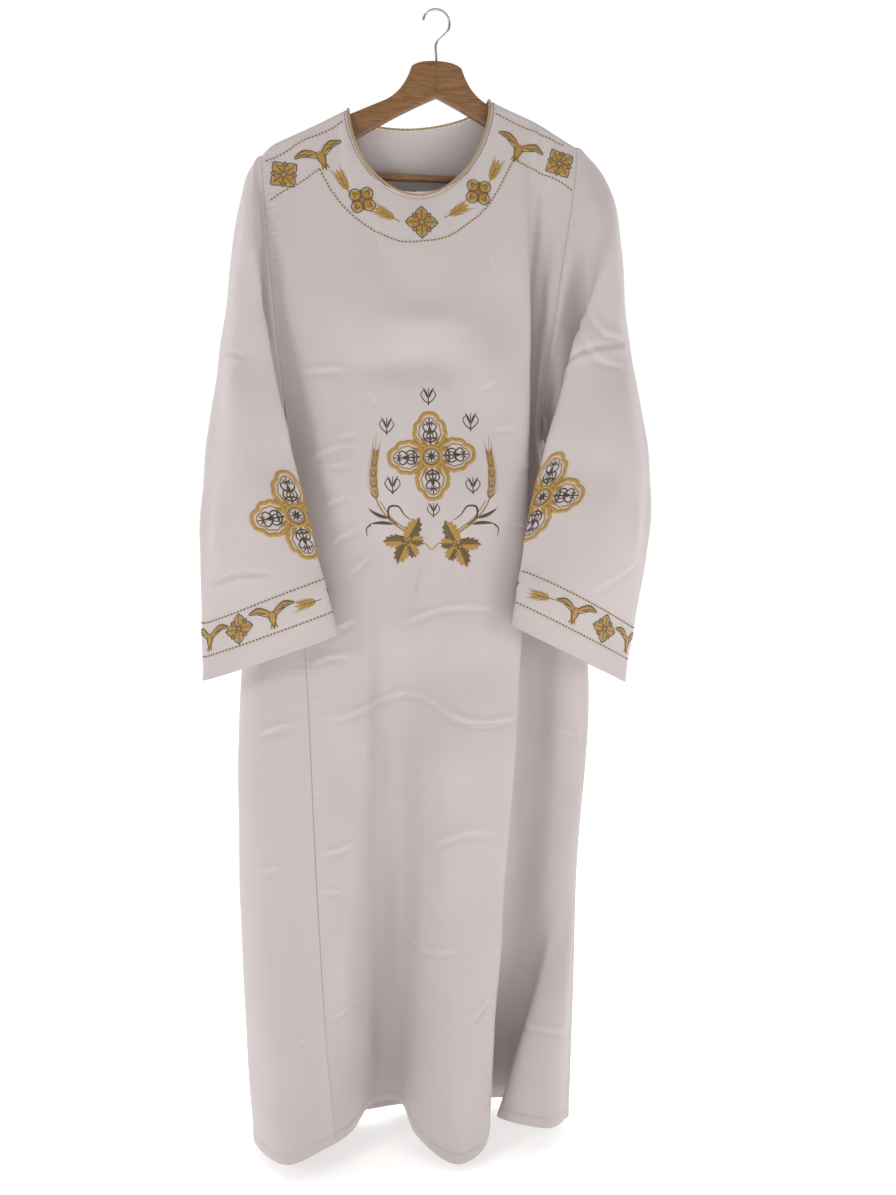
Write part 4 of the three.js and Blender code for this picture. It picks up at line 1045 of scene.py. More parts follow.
class Embroidery:
    """Columns of satin stitch, as closed domed strips on the cloth. They are worked out in whole arrays, one for
    each design."""

    def __init__(self):
        self.points, self.faces, self.caps, self.uv, self.tone, self.count = [], [], [], [], [], 0

    def add_rings(self, points, uv, tone):
        """Adds one strip's rings of points, an array of rings by sides."""
        rings, sides = points.shape[:2]
        side, cap = ring_faces(rings, sides, False)
        self.points.append(points.reshape(-1, 3))
        self.uv.append(uv.reshape(-1, 2))
        self.tone.append(np.full(rings * sides, tone))
        self.faces.append(side + self.count)
        self.caps.append(cap + self.count)
        self.count += rings * sides

    def lay(self, cloth, place, design, angle=0.0, facing=0):
        """Lays a design on the cloth round a place. Each path is cut into even steps. Across it, the section is
        half an ellipse, sunk a little at its edges, closed by a point below. With a facing, the design lies as it
        is seen from there. Without one, its distances are measured out along the cloth."""
        strips = []
        for path, width, height, tone in moved(design, angle=angle):
            total = gap_lengths(path)
            steps = max(3, int(total[-1] / STITCH_STEP) + 1)
            share = np.linspace(0, 1, steps)
            middle = np.stack([np.interp(share * total[-1], total, path[:, k]) for k in (0, 1)], axis=-1)
            way = unit(np.gradient(middle, axis=0))
            side = np.stack([way[:, 1], -way[:, 0]], axis=-1)
            broad = np.interp(share, np.linspace(0, 1, len(width)), width)
            across = np.concatenate([SECTION, [0]])[None, :] * broad[:, None] / 2
            plane = middle[:, None] + side[:, None] * across[..., None]
            lift = np.concatenate([DOME * height - SUNK, [-2 * SUNK]])[None, :] + 0 * across
            uv = np.stack([across, np.broadcast_to((share * total[-1])[:, None], across.shape)], axis=-1) * MM
            strips.append((plane, lift, uv, tone))
        flat = np.concatenate([plane.reshape(-1, 2) for plane, *_ in strips])
        lift = np.concatenate([lift.ravel() for _, lift, *_ in strips])
        places = cloth.project(place, *flat.T, facing) if facing else cloth.spread(place, *flat.T)
        points = cloth.at(*places, lift)
        start = 0
        for plane, _, uv, tone in strips:
            size = plane.shape[0] * plane.shape[1]
            self.add_rings(points[start:start + size].reshape(*plane.shape[:2], 3), uv, tone)
            start += size

    def chain(self, cloth, places, pitch, size, tone=0.5):
        """A row of short stitches along a line of places. size is a stitch's length, width and height. Each is a
        closed grain of five rings, set on the cloth's own directions there."""
        places = np.array(places, float)
        fine = np.linspace(0, len(places) - 1, 60 * len(places))
        course = spline_weights(np.arange(len(places)), fine) @ places
        length = gap_lengths(cloth.form(course[:, 0], course[:, 1]))
        middles = np.arange(pitch / 2, length[-1], pitch)
        a, b = (np.interp(middles, length, course[:, k]) for k in (0, 1))
        more_a, more_b = (np.interp(middles + 1, length, course[:, k]) for k in (0, 1))
        here, ahead = cloth.at(a, b), cloth.at(more_a, more_b)
        normal = cloth.normals(a, b)
        way = unit(ahead - here)
        side = unit(np.cross(normal, way))
        long, wide, high = size
        grain = np.array([-1, -0.6, 0, 0.6, 1])
        full = np.array([0.15, 0.8, 1, 0.8, 0.15])
        turn = np.linspace(0, 2 * math.pi, 6, endpoint=False)
        along = np.broadcast_to((grain * long / 2)[:, None], (5, 6))
        across = full[:, None] * np.cos(turn)[None, :] * wide / 2
        lift = full[:, None] * np.sin(turn)[None, :] * high / 2 + high * 0.3
        points = (here[:, None, None] + way[:, None, None] * along[None, ..., None]
                  + side[:, None, None] * across[None, ..., None] + normal[:, None, None] * lift[None, ..., None])
        uv = np.stack([across, along], axis=-1) * MM
        for stitch in points:
            self.add_rings(stitch, uv, tone)

    def make(self, name, slot, cloth_name):
        """The piece, with its tones kept on its points."""
        uv = np.concatenate(self.uv)
        faces = [np.concatenate(self.faces)] + [
            np.concatenate([cap for cap in self.caps if cap.shape[1] == sides])
            for sides in sorted({cap.shape[1] for cap in self.caps})]
        corners = np.concatenate([uv[block.ravel()] for block in faces])
        piece = mesh_object(name, np.concatenate(self.points), faces, corners, 70)
        tone = piece.data.attributes.new("tone", "FLOAT", "POINT")
        tone.data.foreach_set("value", np.concatenate(self.tone).astype(np.float32))
        piece["on_cloth"] = cloth_name
        return dress(piece, slot)


# ---------------------------------------------------------------- where the embroidery lies
# Chain-stitched lines of the yoke as (x, z), then motifs as (motif, x, z, degrees turned anticlockwise).
FRONT_LINES = (
    ((-242, -222), (-216, -209), (-188, -190), (-166, -181), (-134, -163)),
    ((-236, -276), (-220, -264), (-190, -248), (-168, -231)),
    ((-168, -231), (-151, -262), (-127, -291), (-104, -309), (-79, -322), (-55, -330), (-28, -329), (10, -321),
     (38, -303), (63, -282), (77, -264), (93, -236), (108, -207)),
    ((108, -207), (138, -219), (176, -234), (198, -249)),
    ((83, -142), (134, -162), (168, -175), (185, -182)),
)
FRONT_MOTIFS = (
    (rosette, -217, -239, 38), (bird, -165, -214, 22), (wheat_sprig, -135, -248, 28), (square_flower, -109, -273, 10),
    (wheat_sprig, -76, -292, 62), (rosette, -26, -302, 0), (wheat_sprig, 25, -284, -60), (square_flower, 56, -256, -6),
    (wheat_sprig, 79, -226, -24), (bird, 116, -192, -22), (rosette, 177, -208, 28),
)
BACK_LINES = (
    ((-236, -214), (-188, -190), (-134, -163)),
    ((-232, -272), (-210, -260), (-168, -236)),
    ((-168, -236), (-140, -252), (-100, -262), (-60, -267), (-22, -268), (20, -264), (62, -252), (92, -234),
     (108, -216)),
    ((108, -216), (138, -224), (176, -238), (196, -250)),
    ((83, -142), (134, -162), (180, -180)),
)
BACK_MOTIFS = (
    (rosette, -212, -234, -38), (bird, -164, -206, -22), (square_flower, -112, -222, -12), (wheat_sprig, -68, -230, 84),
    (rosette, -24, -232, 0), (wheat_sprig, 18, -228, -84), (square_flower, 62, -214, 12), (bird, 118, -190, 22),
    (rosette, 172, -208, -28),
)
MOTIF_SCALE = {rosette: 1.0, square_flower: 0.98, bird: 0.98, wheat_sprig: 1.2}
CHAIN_PITCH = 5.2
CHAIN_SIZE = (3.8, 2.5, 1.5)
NECK_STITCHES = (1.012, 1.05, 1.12, 1.2, 1.3, 1.4, 1.5, 1.6, 1.7, 1.8, 1.88, 1.95, 1.988)    # along the top
NECK_ROW = 0.9935
NECK_STITCH_SIZE = (3.2, 1.8, 1.1)
HEM_PITCH = 3.2
HEM_STITCH_SIZE = (2.6, 0.7, 0.6)
# On the chest: the cross with its lean, then x, z and whether it is mirrored, and x, z and size of each sprig.
CHEST = (-16, -629)
CHEST_LEAN = 3.4
EARS = ((-55, -664, False), (26, -664, True))
VINE_LEAVES = ((-50, -748, False), (20, -752, True))
GARLAND_AT = (-15, -756)
GARLAND = ((-26, -2), (-12, 5), (0, -4), (10, 5), (27, -3))
SPRIGS = ((-20, -545, 1.3), (-79, -587, 1.25), (40, -580, 1.35), (-71, -669, 1.35), (42, -670, 1.25),
          (-13, -704, 1.1))
SLEEVE_CROSSES = {"sleeve_left": (-207, -711, 3), "sleeve_right": (136, -686, -8)}
CUFF_LINES = (33, 79)                # heights of the cuff's two chain-stitched lines
CUFF_MOTIFS = (bird, rosette, bird, wheat_sprig, rosette, bird, square_flower, rosette)
CUFF_SCALE = 0.9
CUFF_START = 0.3                     # share of a motif's room before the first one


def make_yoke():
    """The embroidery round the neck and on the shoulders, front and back."""
    for name, facing, folds, lines, motifs in (("front", -1, FRONT_FOLDS, FRONT_LINES, FRONT_MOTIFS),
                                               ("back", 1, BACK_FOLDS[::-1], BACK_LINES, BACK_MOTIFS)):
        cloth, work = cloths()[name], Embroidery()
        for course in lines:
            work.chain(cloth, cloth.find_all(course, facing), CHAIN_PITCH, CHAIN_SIZE)
        u = np.interp(NECK_STITCHES, [row[2] for row in folds], [row[1] for row in folds])
        work.chain(cloth, [(place, NECK_ROW) for place in u], CHAIN_PITCH * 0.8, NECK_STITCH_SIZE)
        for motif, x, z, angle in motifs:
            work.lay(cloth, cloth.find(x, z, facing), moved(motif(), scale=MOTIF_SCALE[motif]), angle, facing)
        work.make(f"{name}_yoke_embroidery", "gold_thread", name)


def make_chest():
    """The cross on the chest between two ears of wheat with vine leaves, and six small sprigs round the cross."""
    cloth = cloths()["front"]
    gold, brown = Embroidery(), Embroidery()

    def lay(work, x, z, design, angle=0):
        work.lay(cloth, cloth.find(x, z, -1), design, angle, -1)

    lay(gold, *CHEST, cross_gold(), CHEST_LEAN)
    lay(brown, *CHEST, cross_brown(), CHEST_LEAN)
    for x, z, mirror in EARS:
        lay(gold, x, z, moved(ear_gold(), mirror=mirror))
        lay(brown, x, z, moved(ear_brown(), mirror=mirror))
    for x, z, mirror in VINE_LEAVES:
        lay(gold, x, z, moved(vine_leaf(), mirror=mirror))
    lay(gold, *GARLAND_AT, [line(GARLAND, [2.6, 1.8, 2.4])])
    for x, z, size in SPRIGS:
        lay(brown, x, z, moved(small_sprig(), scale=size))
    gold.make("chest_gold", "gold_thread", "front")
    brown.make("chest_brown", "brown_thread", "front")


def make_sleeve_work():
    """On each sleeve a cross, two chain-stitched lines round the cuff and a row of motifs between them."""
    middle = sum(CUFF_LINES) / 2
    for name, (x, z, angle) in SLEEVE_CROSSES.items():
        cloth, gold, brown = cloths()[name], Embroidery(), Embroidery()
        place = cloth.find(x, z, -1)
        gold.lay(cloth, place, cross_gold(), angle)
        brown.lay(cloth, place, cross_brown(), angle)
        course = np.linspace(0, ROUND, 60)
        for height in CUFF_LINES:
            down = 1 - height / cloth.hem_length(course)
            gold.chain(cloth, np.stack([course, down], axis=-1), CHAIN_PITCH, CHAIN_SIZE)
        ring = np.linspace(0, ROUND, 400)
        length = gap_lengths(cloth.form(ring, 1 - middle / cloth.hem_length(ring)))
        for k, motif in enumerate(CUFF_MOTIFS):
            spot = np.interp((k + CUFF_START) / len(CUFF_MOTIFS) * length[-1], length, ring)
            design = moved(motif(), scale=CUFF_SCALE * MOTIF_SCALE[motif], angle=90 if motif is wheat_sprig else 0)
            gold.lay(cloth, (spot, 1 - middle / cloth.hem_length(spot)), design)
        gold.make(f"{name}_gold", "gold_thread", name)
        brown.make(f"{name}_brown", "brown_thread", name)


def make_hem_stitches():
    """Machine stitches round the body's hem, in white thread."""
    for name in ("front", "back"):
        cloth, work = cloths()[name], Embroidery()
        u = np.linspace(0.01, 0.99, 40)
        v = settings().hem_height / MM / cloth.hem_length(u)
        work.chain(cloth, np.stack([u, v], axis=-1), HEM_PITCH, HEM_STITCH_SIZE, 0.0)
        work.make(f"{name}_hem_stitches", "white_cloth", name)


# ---------------------------------------------------------------- materials
def linear(colour):
    """A hex colour in sRGB as linear red, green, blue and alpha."""
    channels = [int(colour[k:k + 2], 16) / 255 for k in (1, 3, 5)]
    return (*[c / 12.92 if c <= 0.04045 else ((c + 0.055) / 1.055) ** 2.4 for c in channels], 1.0)


def add_node(tree, kind, inputs=None, **properties):
    """Adds a node, sets its properties and its inputs: a socket is linked and anything else is a value."""
    node = tree.nodes.new(kind)
    for name, value in properties.items():
        setattr(node, name, value)
    for name, value in (inputs or {}).items():
        socket = node.inputs[name]
        if isinstance(value, bpy.types.NodeSocket):
            tree.links.new(value, socket)
        else:
            socket.default_value = value
    return node


def noise(tree, place, scale, detail, **inputs):
    """The factor of a noise texture."""
    return add_node(tree, "ShaderNodeTexNoise",
                    {"Vector": place, "Scale": scale, "Detail": detail, **inputs}).outputs["Fac"]


def wave(tree, place, period, direction, **inputs):
    """The factor of bands of a period in metres across one axis. Their scale is pi / 10 / period."""
    return add_node(tree, "ShaderNodeTexWave", {"Vector": place, "Scale": math.pi / 10 / period, **inputs},
                    bands_direction=direction).outputs["Fac"]


def combined(tree, operation, first, second):
    """The sum or the product of two factors."""
    return add_node(tree, "ShaderNodeMath", {0: first, 1: second}, operation=operation).outputs[0]


def ranged(tree, value, **limits):
    """A factor stretched from one range to another: From_Min, From_Max, To_Min and To_Max."""
    inputs = {name.replace("_", " "): limit for name, limit in limits.items()}
    return add_node(tree, "ShaderNodeMapRange", {"Value": value, **inputs}).outputs["Result"]


def mixed(tree, factor, first, second):
    """A mix of two colours."""
    return add_node(tree, "ShaderNodeMix", {"Factor": factor, "A": first, "B": second},
                    data_type="RGBA").outputs["Result"]


def bump(tree, height, strength, distance, **inputs):
    """The normal of a bumpy surface."""
    return add_node(tree, "ShaderNodeBump", {"Height": height, "Strength": strength, "Distance": distance,
                                             **inputs}).outputs["Normal"]


def new_material(name):
    """An empty node material with its tree."""
    material = bpy.data.materials.new(name)
    material.use_nodes = True
    material.node_tree.nodes.clear()
    return material, material.node_tree


def finish_material(material, inputs):
    """Adds the surface shader with its inputs, links it to an output and returns the material."""
    shader = add_node(material.node_tree, "ShaderNodeBsdfPrincipled", inputs)
    add_node(material.node_tree, "ShaderNodeOutputMaterial", {"Surface": shader.outputs[0]})
    return material


def along_cloth(tree):
    """Places on a cloth or a thread, in metres."""
    return add_node(tree, "ShaderNodeUVMap", uv_map="cloth").outputs["UV"]


def in_object(tree):
    """Places in the object's own space."""
    return add_node(tree, "ShaderNodeTexCoord").outputs["Object"]


def cotton_satin():
    """White cotton and polyester satin: the thread's fine bands and a soft sheen make the cloth look smooth from
    afar and woven close up."""
    size = settings()
    material, tree = new_material("white cotton satin")
    place = along_cloth(tree)
    woven = combined(tree, "ADD", wave(tree, place, size.weave_pitch, "Y"),
                     wave(tree, place, size.weave_pitch * 1.25, "X"))
    # Coarser than thread: slubs and uneven pressing, which show at arm's length as a faint mottling.
    cloud = noise(tree, place, 38.0, 3.0, Roughness=0.5)
    shade = ranged(tree, cloud, To_Min=0.975, To_Max=1.02)
    base = add_node(tree, "ShaderNodeVectorMath", {0: tuple(size.cloth_colour)[:3], "Scale": shade}, operation="SCALE")
    normal = bump(tree, cloud, 0.5, 0.0005, Normal=bump(tree, woven, 0.25, 0.00008))
    return finish_material(material, {
        "Base Color": base.outputs["Vector"], "Roughness": 0.58, "Normal": normal, "Sheen Weight": 0.25,
        "Sheen Roughness": 0.4, "IOR": 1.45})


def cotton_cord():
    """Twisted beige cotton cord with a gilt strand: the two tones and the ridges show its twist."""
    material, tree = new_material("beige cotton cord")
    fibre = noise(tree, in_object(tree), 900.0, 3.0)
    return finish_material(material, {
        "Base Color": mixed(tree, fibre, tuple(settings().cord_colour), linear("#8a6f4a")), "Roughness": 0.7,
        "Normal": bump(tree, fibre, 0.4, 0.0002), "Sheen Weight": 0.2})


def wood(name, colour, dark, roughness, coat):
    """Varnished beech: long stretched grain in two browns and a thin clear coat, which gives soft highlights."""
    material, tree = new_material(name)
    place = in_object(tree)
    # The grain runs along X: noise squeezed to lines of about 0.6 mm by 40 mm, and flecks of 2 mm.
    grain, fleck = (
        noise(tree, add_node(tree, "ShaderNodeMapping", {"Vector": place, "Scale": scale}).outputs[0], 1.0, detail)
        for scale, detail in (((25.0, 900.0, 900.0), 4.0), ((70.0, 400.0, 400.0), 2.0)))
    share = ranged(tree, combined(tree, "MULTIPLY", grain, fleck), From_Min=0.12, From_Max=0.42)
    return finish_material(material, {
        "Base Color": mixed(tree, share, dark, colour), "Roughness": roughness,
        "Normal": bump(tree, grain, 0.15, 0.0001), "Coat Weight": coat, "Coat Roughness": 0.2})


def zinc_steel():
    """Zinc-plated steel wire: bright metal with fine drawing marks that soften its reflections."""
    material, tree = new_material("zinc-plated steel")
    marks = noise(tree, in_object(tree), 1500.0, 2.0)
    return finish_material(material, {
        "Base Color": tuple(settings().steel_colour), "Metallic": 1.0,
        "Roughness": ranged(tree, marks, To_Min=0.2, To_Max=0.38)})


def silk_thread(name, colour, dark):
    """Rayon embroidery thread laid side by side: the bands of thread across each stitch, with painted shade between the
    threads that noise varies at random, and the low roughness give satin stitch its gloss."""
    material, tree = new_material(name)
    place = along_cloth(tree)
    thread = wave(tree, place, settings().thread_width, "Y", Distortion=1.2, Detail=1.0)
    share = combined(tree, "MULTIPLY", thread, noise(tree, place, 300.0, 2.0))
    laid = add_node(tree, "ShaderNodeAttribute", attribute_name="tone").outputs["Fac"]
    base = mixed(tree, laid, colour, dark)
    # Painted shade: the thread's colour at half its value, mixed in where the bands of thread are low, as shade in the
    # grooves between threads.
    shaded = add_node(tree, "ShaderNodeHueSaturation", {"Color": base, "Value": 0.5}).outputs["Color"]
    return finish_material(material, {
        "Base Color": mixed(tree, ranged(tree, share, From_Min=0.05, From_Max=0.5), shaded, base),
        "Roughness": 0.38, "Normal": bump(tree, thread, 0.5, 0.00015), "Sheen Weight": 0.15,
        "Specular IOR Level": 0.6})


def lit_floor():
    """A plain matt white, lit a little from below, as a light table is, so that it ends in white like the
    surroundings."""
    material, _ = new_material("matt white floor")
    return finish_material(material, {
        "Base Color": linear("#fcfcfb"), "Roughness": 0.9, "Emission Color": linear("#ffffff"),
        "Emission Strength": FLOOR_GLOW})


@functools.lru_cache(maxsize=None)
def material_of(slot):
    """The material of one of the record's slots, made once."""
    size = settings()
    makers = {
        "white_cloth": cotton_satin,
        "beige_cord": cotton_cord,
        "gold_thread": lambda: silk_thread("gold rayon thread", tuple(size.gold_colour), linear("#5d4527")),
        "brown_thread": lambda: silk_thread("brown rayon thread", tuple(size.brown_colour), linear("#2f2118")),
        "light_wood": lambda: wood("varnished beech", tuple(size.wood_colour), linear("#6f4e30"), 0.42, 0.3),
        "bar_wood": lambda: wood("stained beech", tuple(size.bar_colour), linear("#6d4c34"), 0.5, 0.2),
        "steel_wire": zinc_steel,
    }
    return makers[slot]()


def dress(made, slot, *nodes):
    """Gives a piece the material of its slot, puts it on the body and hides the solids that it stands for."""
    made.data.materials.append(material_of(slot))
    if nodes:
        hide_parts(*nodes)
    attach(made, BODY)
    return made


def rod(name, path, radius, sides, closed, aside, slot, node):
    """A tube round a path, dressed as one piece."""
    rings = tube(path, radius, sides, closed, aside)
    made = mesh_object(name, rings.reshape(-1, 3), ring_faces(len(path), sides, closed))
    return dress(made, slot, node)


# ---------------------------------------------------------------- the pieces
# Rows and columns of the meshes of cloth. Every third row has an inner one, so rows less one is a multiple of 3.
FRONT_ROWS, BACK_ROWS, PANEL_COLUMNS = 427, 382, 160
SLEEVE_ROWS, SLEEVE_COLUMNS = 262, 150
# Where they lie closer: place, reach on either side and how much closer.
NEAR_SEAMS = ((0, 0.03, 1.2), (1, 0.03, 1.2))
NEAR_HEM = ((0, 0.012, 1.6), (0.9, 0.08, 0.3), (1, 0.03, 1.2))
NEAR_ARMHOLE = ((0, 0.03, 1.5), (1, 0.03, 0.8))
BINDING_POINTS, BINDING_SIDES = 400, 14
ARM_STATIONS, ARM_SIDES, ARM_CORNER = 110, 36, 0.42      # the last is the power of its section's superellipse
BAR_RINGS, BAR_SIDES = 60, 28
HOOK_RINGS, HOOK_SIDES = 180, 20


def make_panels():
    """The front and back panels."""
    made = cloths()
    thickness = settings().cloth_thickness / MM
    for name, rows, flat, area in (("front", FRONT_ROWS, FRONT_FLAT, FRONT_AREA),
                                   ("back", BACK_ROWS, BACK_FLAT, BACK_AREA)):
        cloth = made[name]
        a = even_places(cloth, PANEL_COLUMNS, True, (0.03, 0.25, 0.5, 0.7), NEAR_SEAMS)
        b = even_places(cloth, rows, False, (0.1, 0.3, 0.5, 0.8), NEAR_HEM)
        piece = cloth_mesh(f"{name}_cloth", cloth, a, b, thickness)
        dress(piece, "white_cloth", f"{name}_panel")


def make_sleeves():
    """The two sleeves, each a ring of cloth from the armhole to the cuff."""
    made = cloths()
    thickness = settings().cloth_thickness / MM
    for side in ("left", "right"):
        cloth = made[f"sleeve_{side}"]
        a = even_places(cloth, SLEEVE_COLUMNS + 1, True, (0.1, 0.5, 0.95), [])[:-1]
        b = even_places(cloth, SLEEVE_ROWS, False, (2, 6, 13, 20), NEAR_ARMHOLE)
        piece = cloth_mesh(f"sleeve_{side}_cloth", cloth, a, b, thickness)
        dress(piece, "white_cloth", f"sleeve_{side}")


def neckline_path(count):
    """The cord's middle line: from each point of the two necklines, aside from the edge by the cord's radius, and
    over the arms towards the middle."""
    parts = []
    for side, start, end in ((-1, 1, 2), (1, 2, 1)):
        places = np.linspace(start, end, count, endpoint=False)
        edge, below = top_points(places, 0, side), top_points(places, 1, side)
        over = np.abs(np.cos(math.pi * (places - 1)))[:, None] ** 6
        towards = unit(edge - below)
        aside = unit(np.stack([NECK_MIDDLE - edge[:, 0], 0 * places, 0 * places], axis=-1))
        aim = unit(towards * (1 - over) + aside * over) * (BINDING_DIAMETER / 2 + SEAM)
        lean = np.concatenate([0 * over, side * (1 - over), 0.2 + over], axis=1)
        parts.append(edge + aim + unit(lean) * BINDING_LIFT)
    ring = np.concatenate([*parts, parts[0][:1]])
    length = gap_lengths(ring)
    even = np.linspace(0, length[-1], 2 * count, endpoint=False)
    return np.stack([np.interp(even, length, ring[:, k]) for k in range(3)], axis=-1)


def make_binding():
    """The twisted cord round the neck. Its radius swells by the cosine of twice the angle less the twist, so that
    two strands wind round each other."""
    path = neckline_path(BINDING_POINTS)
    turns = round(gap_lengths(path)[-1] / BINDING_TWIST)

    def radius(k, turn):
        swell = np.cos(2 * (turn - math.pi * turns * k / len(path)))
        return BINDING_DIAMETER / 2 * (BINDING_CORE + BINDING_SWELL * swell)

    rod("neck_cord", path, radius, BINDING_SIDES, True, path - path.mean(axis=0), "beige_cord", "neck_binding")


def make_arms():
    """The hanger's two arms. Stations along x are closed rings between the upper and the lower edge: a rounded
    rectangle whose corners are superellipses, which shrinks to a rounded end."""
    end = ARM_REACH - ARM_ROUND
    top = np.concatenate([
        curve((SEAM / 2, WOOD_TOP), (DOME_HALF * 0.8, WOOD_TOP), (DOME_HALF + 3, WOOD_TOP - 9), 14),
        curve((DOME_HALF + 3, WOOD_TOP - 9), (46, -112), (72, arm_top(72)), 16)[1:],
        [(end, arm_top(end))],
        curve((end, arm_top(end)), (ARM_REACH + 0.5, arm_top(end) - 5), (ARM_REACH, arm_top(end) - 15), 8)[1:]])
    tip = end + (ARM_ROUND - 0.1) * np.sin(np.linspace(0, math.pi / 2, 9))
    x = np.unique(np.concatenate([np.linspace(SEAM / 2, end, ARM_STATIONS), tip]))
    high = np.interp(x, top[:, 0], top[:, 1])
    share = np.clip((x - end) / ARM_ROUND, 0, 1)
    low = np.minimum(arm_under(np.minimum(x, end)) + (1 - np.sqrt(1 - share ** 2)) * 9, high - 4)
    low = np.where(x > end, np.maximum(low, arm_under(end)), low)
    half = WOOD_THICK / 2 * np.sqrt(np.maximum(0.04, 1 - share ** 2 * 0.8))
    turn = np.linspace(0, 2 * math.pi, ARM_SIDES, endpoint=False)
    round_y, round_z = (np.sign(wave) * np.abs(wave) ** ARM_CORNER for wave in (np.cos(turn), np.sin(turn)))
    corner = np.minimum(1.0, 9 / np.maximum(1.0, (high - low) / 2))
    squash = np.sign(round_z) * (1 - (1 - np.abs(round_z))[None, :] * corner[:, None])
    points = np.stack([np.broadcast_to(x[:, None], squash.shape), half[:, None] * round_y[None, :],
                       (high + low)[:, None] / 2 + (high - low)[:, None] / 2 * squash], axis=-1)
    faces = ring_faces(len(x), len(turn), False)
    for side, name in ((1, "right"), (-1, "left")):
        shaped = points * np.array([side, 1, 1])
        turned = [block[:, ::-1] for block in faces] if side < 0 else faces
        dress(mesh_object(f"arm_{name}", shaped.reshape(-1, 3), turned), "light_wood", f"hanger_arm_{name}")


def arm_top(x):
    """Upper edge of an arm: a straight slope."""
    return -94 - 0.445 * x


def arm_under(x):
    """Lower edge of an arm: a slope that steepens with the square of the distance."""
    return -121 - 0.46 * x - 0.0007 * x * x


def make_bar():
    """The round trouser bar: a cylinder between the arms."""
    path = np.linspace((-BAR_REACH, 0, BAR_LEVEL), (BAR_REACH, 0, BAR_LEVEL), BAR_RINGS)
    rod("bar", path, BAR_DIAMETER / 2, BAR_SIDES, False, (0, 0, 1), "bar_wood", "hanger_bar")


def make_hook():
    """The wire hook: a round crook, a short bend and a straight shank, joined by a spline."""
    middle = -HOOK_RADIUS + HOOK_WIRE / 2
    angle = np.radians(HOOK_TURN - HOOK_LEAN - HOOK_TURN * np.arange(13) / 12)
    crook = np.stack([HOOK_RADIUS * np.cos(angle), 0 * angle, middle + HOOK_RADIUS * np.sin(angle)], axis=-1)
    shank = [(0, 0, middle - HOOK_RADIUS - 9), (0, 0, WOOD_TOP + 4), (0, 0, WOOD_TOP - 6),
             (0, 0, WOOD_TOP - SHANK_DEPTH + 0.5)]
    knots = np.concatenate([crook, shank])
    place = np.concatenate([[0], np.cumsum(np.sqrt(np.linalg.norm(np.diff(knots, axis=0), axis=1)))])
    path = spline_weights(place, np.linspace(0, place[-1], HOOK_RINGS)) @ knots
    rod("hook", path, HOOK_WIRE / 2, HOOK_SIDES, False, (0, 1, 0), "steel_wire", "hanger_hook")


# ---------------------------------------------------------------- floor, lights and camera
# Strengths of the surroundings in front of the object and behind it, and of the floor's glow.
WORLD_FRONT, WORLD_BACK = 0.24, 1.06
FLOOR_GLOW = 0.55
# name, place, what it is aimed at, size in metres, power in watts and colour
LAMPS = (
    ("key", (-2.3, -1.9, 0.0), (-0.05, 0, -0.9), 0.7, 17, "#fffaf4"),
    ("fill", (1.9, -1.7, -0.9), (0, 0, -0.9), 1.0, 12, "#fff8f2"),
    ("above", (-0.9, -0.3, 1.9), (-0.1, 0, -0.6), 1.2, 7, "#f4f1fb"),
)
CAMERA_PLACE = (-0.2740, -1.8367, -0.6899)
CAMERA_TURN = (85.6, 0, -9)          # degrees
CAMERA_LENS = 38.29                  # millimetres, for a sensor 36 mm wide


def make_stage():
    """The pale floor, the soft lights, the camera and the white surroundings."""
    bpy.ops.mesh.primitive_plane_add(size=60, location=(0, 0, settings().floor_level))
    floor = bpy.context.object
    floor.name = "floor"
    floor.data.materials.append(lit_floor())

    scene = bpy.context.scene
    scene.world = bpy.data.worlds.new("white surroundings")
    scene.world.use_nodes = True
    tree = scene.world.node_tree
    tree.nodes.clear()
    # White behind the object and dimmer in front of it, so that the lamps' direction shows on the cloth.
    around = add_node(tree, "ShaderNodeTexCoord").outputs["Generated"]
    depth = add_node(tree, "ShaderNodeSeparateXYZ", {"Vector": around}).outputs["Y"]
    strength = ranged(tree, depth, From_Min=-0.3, From_Max=0.3, To_Min=WORLD_FRONT, To_Max=WORLD_BACK)
    shade = add_node(tree, "ShaderNodeBackground", {"Color": linear("#fbfafc"), "Strength": strength})
    add_node(tree, "ShaderNodeOutputWorld", {"Surface": shade.outputs[0]})

    for name, place, aim, size, power, colour in LAMPS:
        lamp = bpy.data.lights.new(name, "AREA")
        lamp.shape, lamp.size, lamp.energy, lamp.color = "DISK", size, power, linear(colour)[:3]
        made = bpy.data.objects.new(name, lamp)
        made.location = place
        made.rotation_euler = (Vector(aim) - Vector(place)).to_track_quat("-Z", "Y").to_euler()
        scene.collection.objects.link(made)

    lens = bpy.data.cameras.new("camera")
    lens.sensor_width, lens.lens, lens.clip_end = 36, CAMERA_LENS, 100
    scene.camera = bpy.data.objects.new("camera", lens)
    scene.camera.location = CAMERA_PLACE
    scene.camera.rotation_euler = [math.radians(turn) for turn in CAMERA_TURN]
    scene.collection.objects.link(scene.camera)
    scene.view_settings.view_transform = "Standard"


# ---------------------------------------------------------------- settings, operators and panel
def length_property(name, description, default, low, high):
    """A length in metres, shown in the scene's units."""
    return bpy.props.FloatProperty(name=name, description=description, default=default, min=low, max=high,
                                   subtype="DISTANCE", unit="LENGTH", precision=5)


def colour_property(name, description, colour):
    """A colour, kept as linear values."""
    return bpy.props.FloatVectorProperty(name=name, description=description, default=linear(colour), size=4,
                                         min=0, max=1, subtype="COLOR")


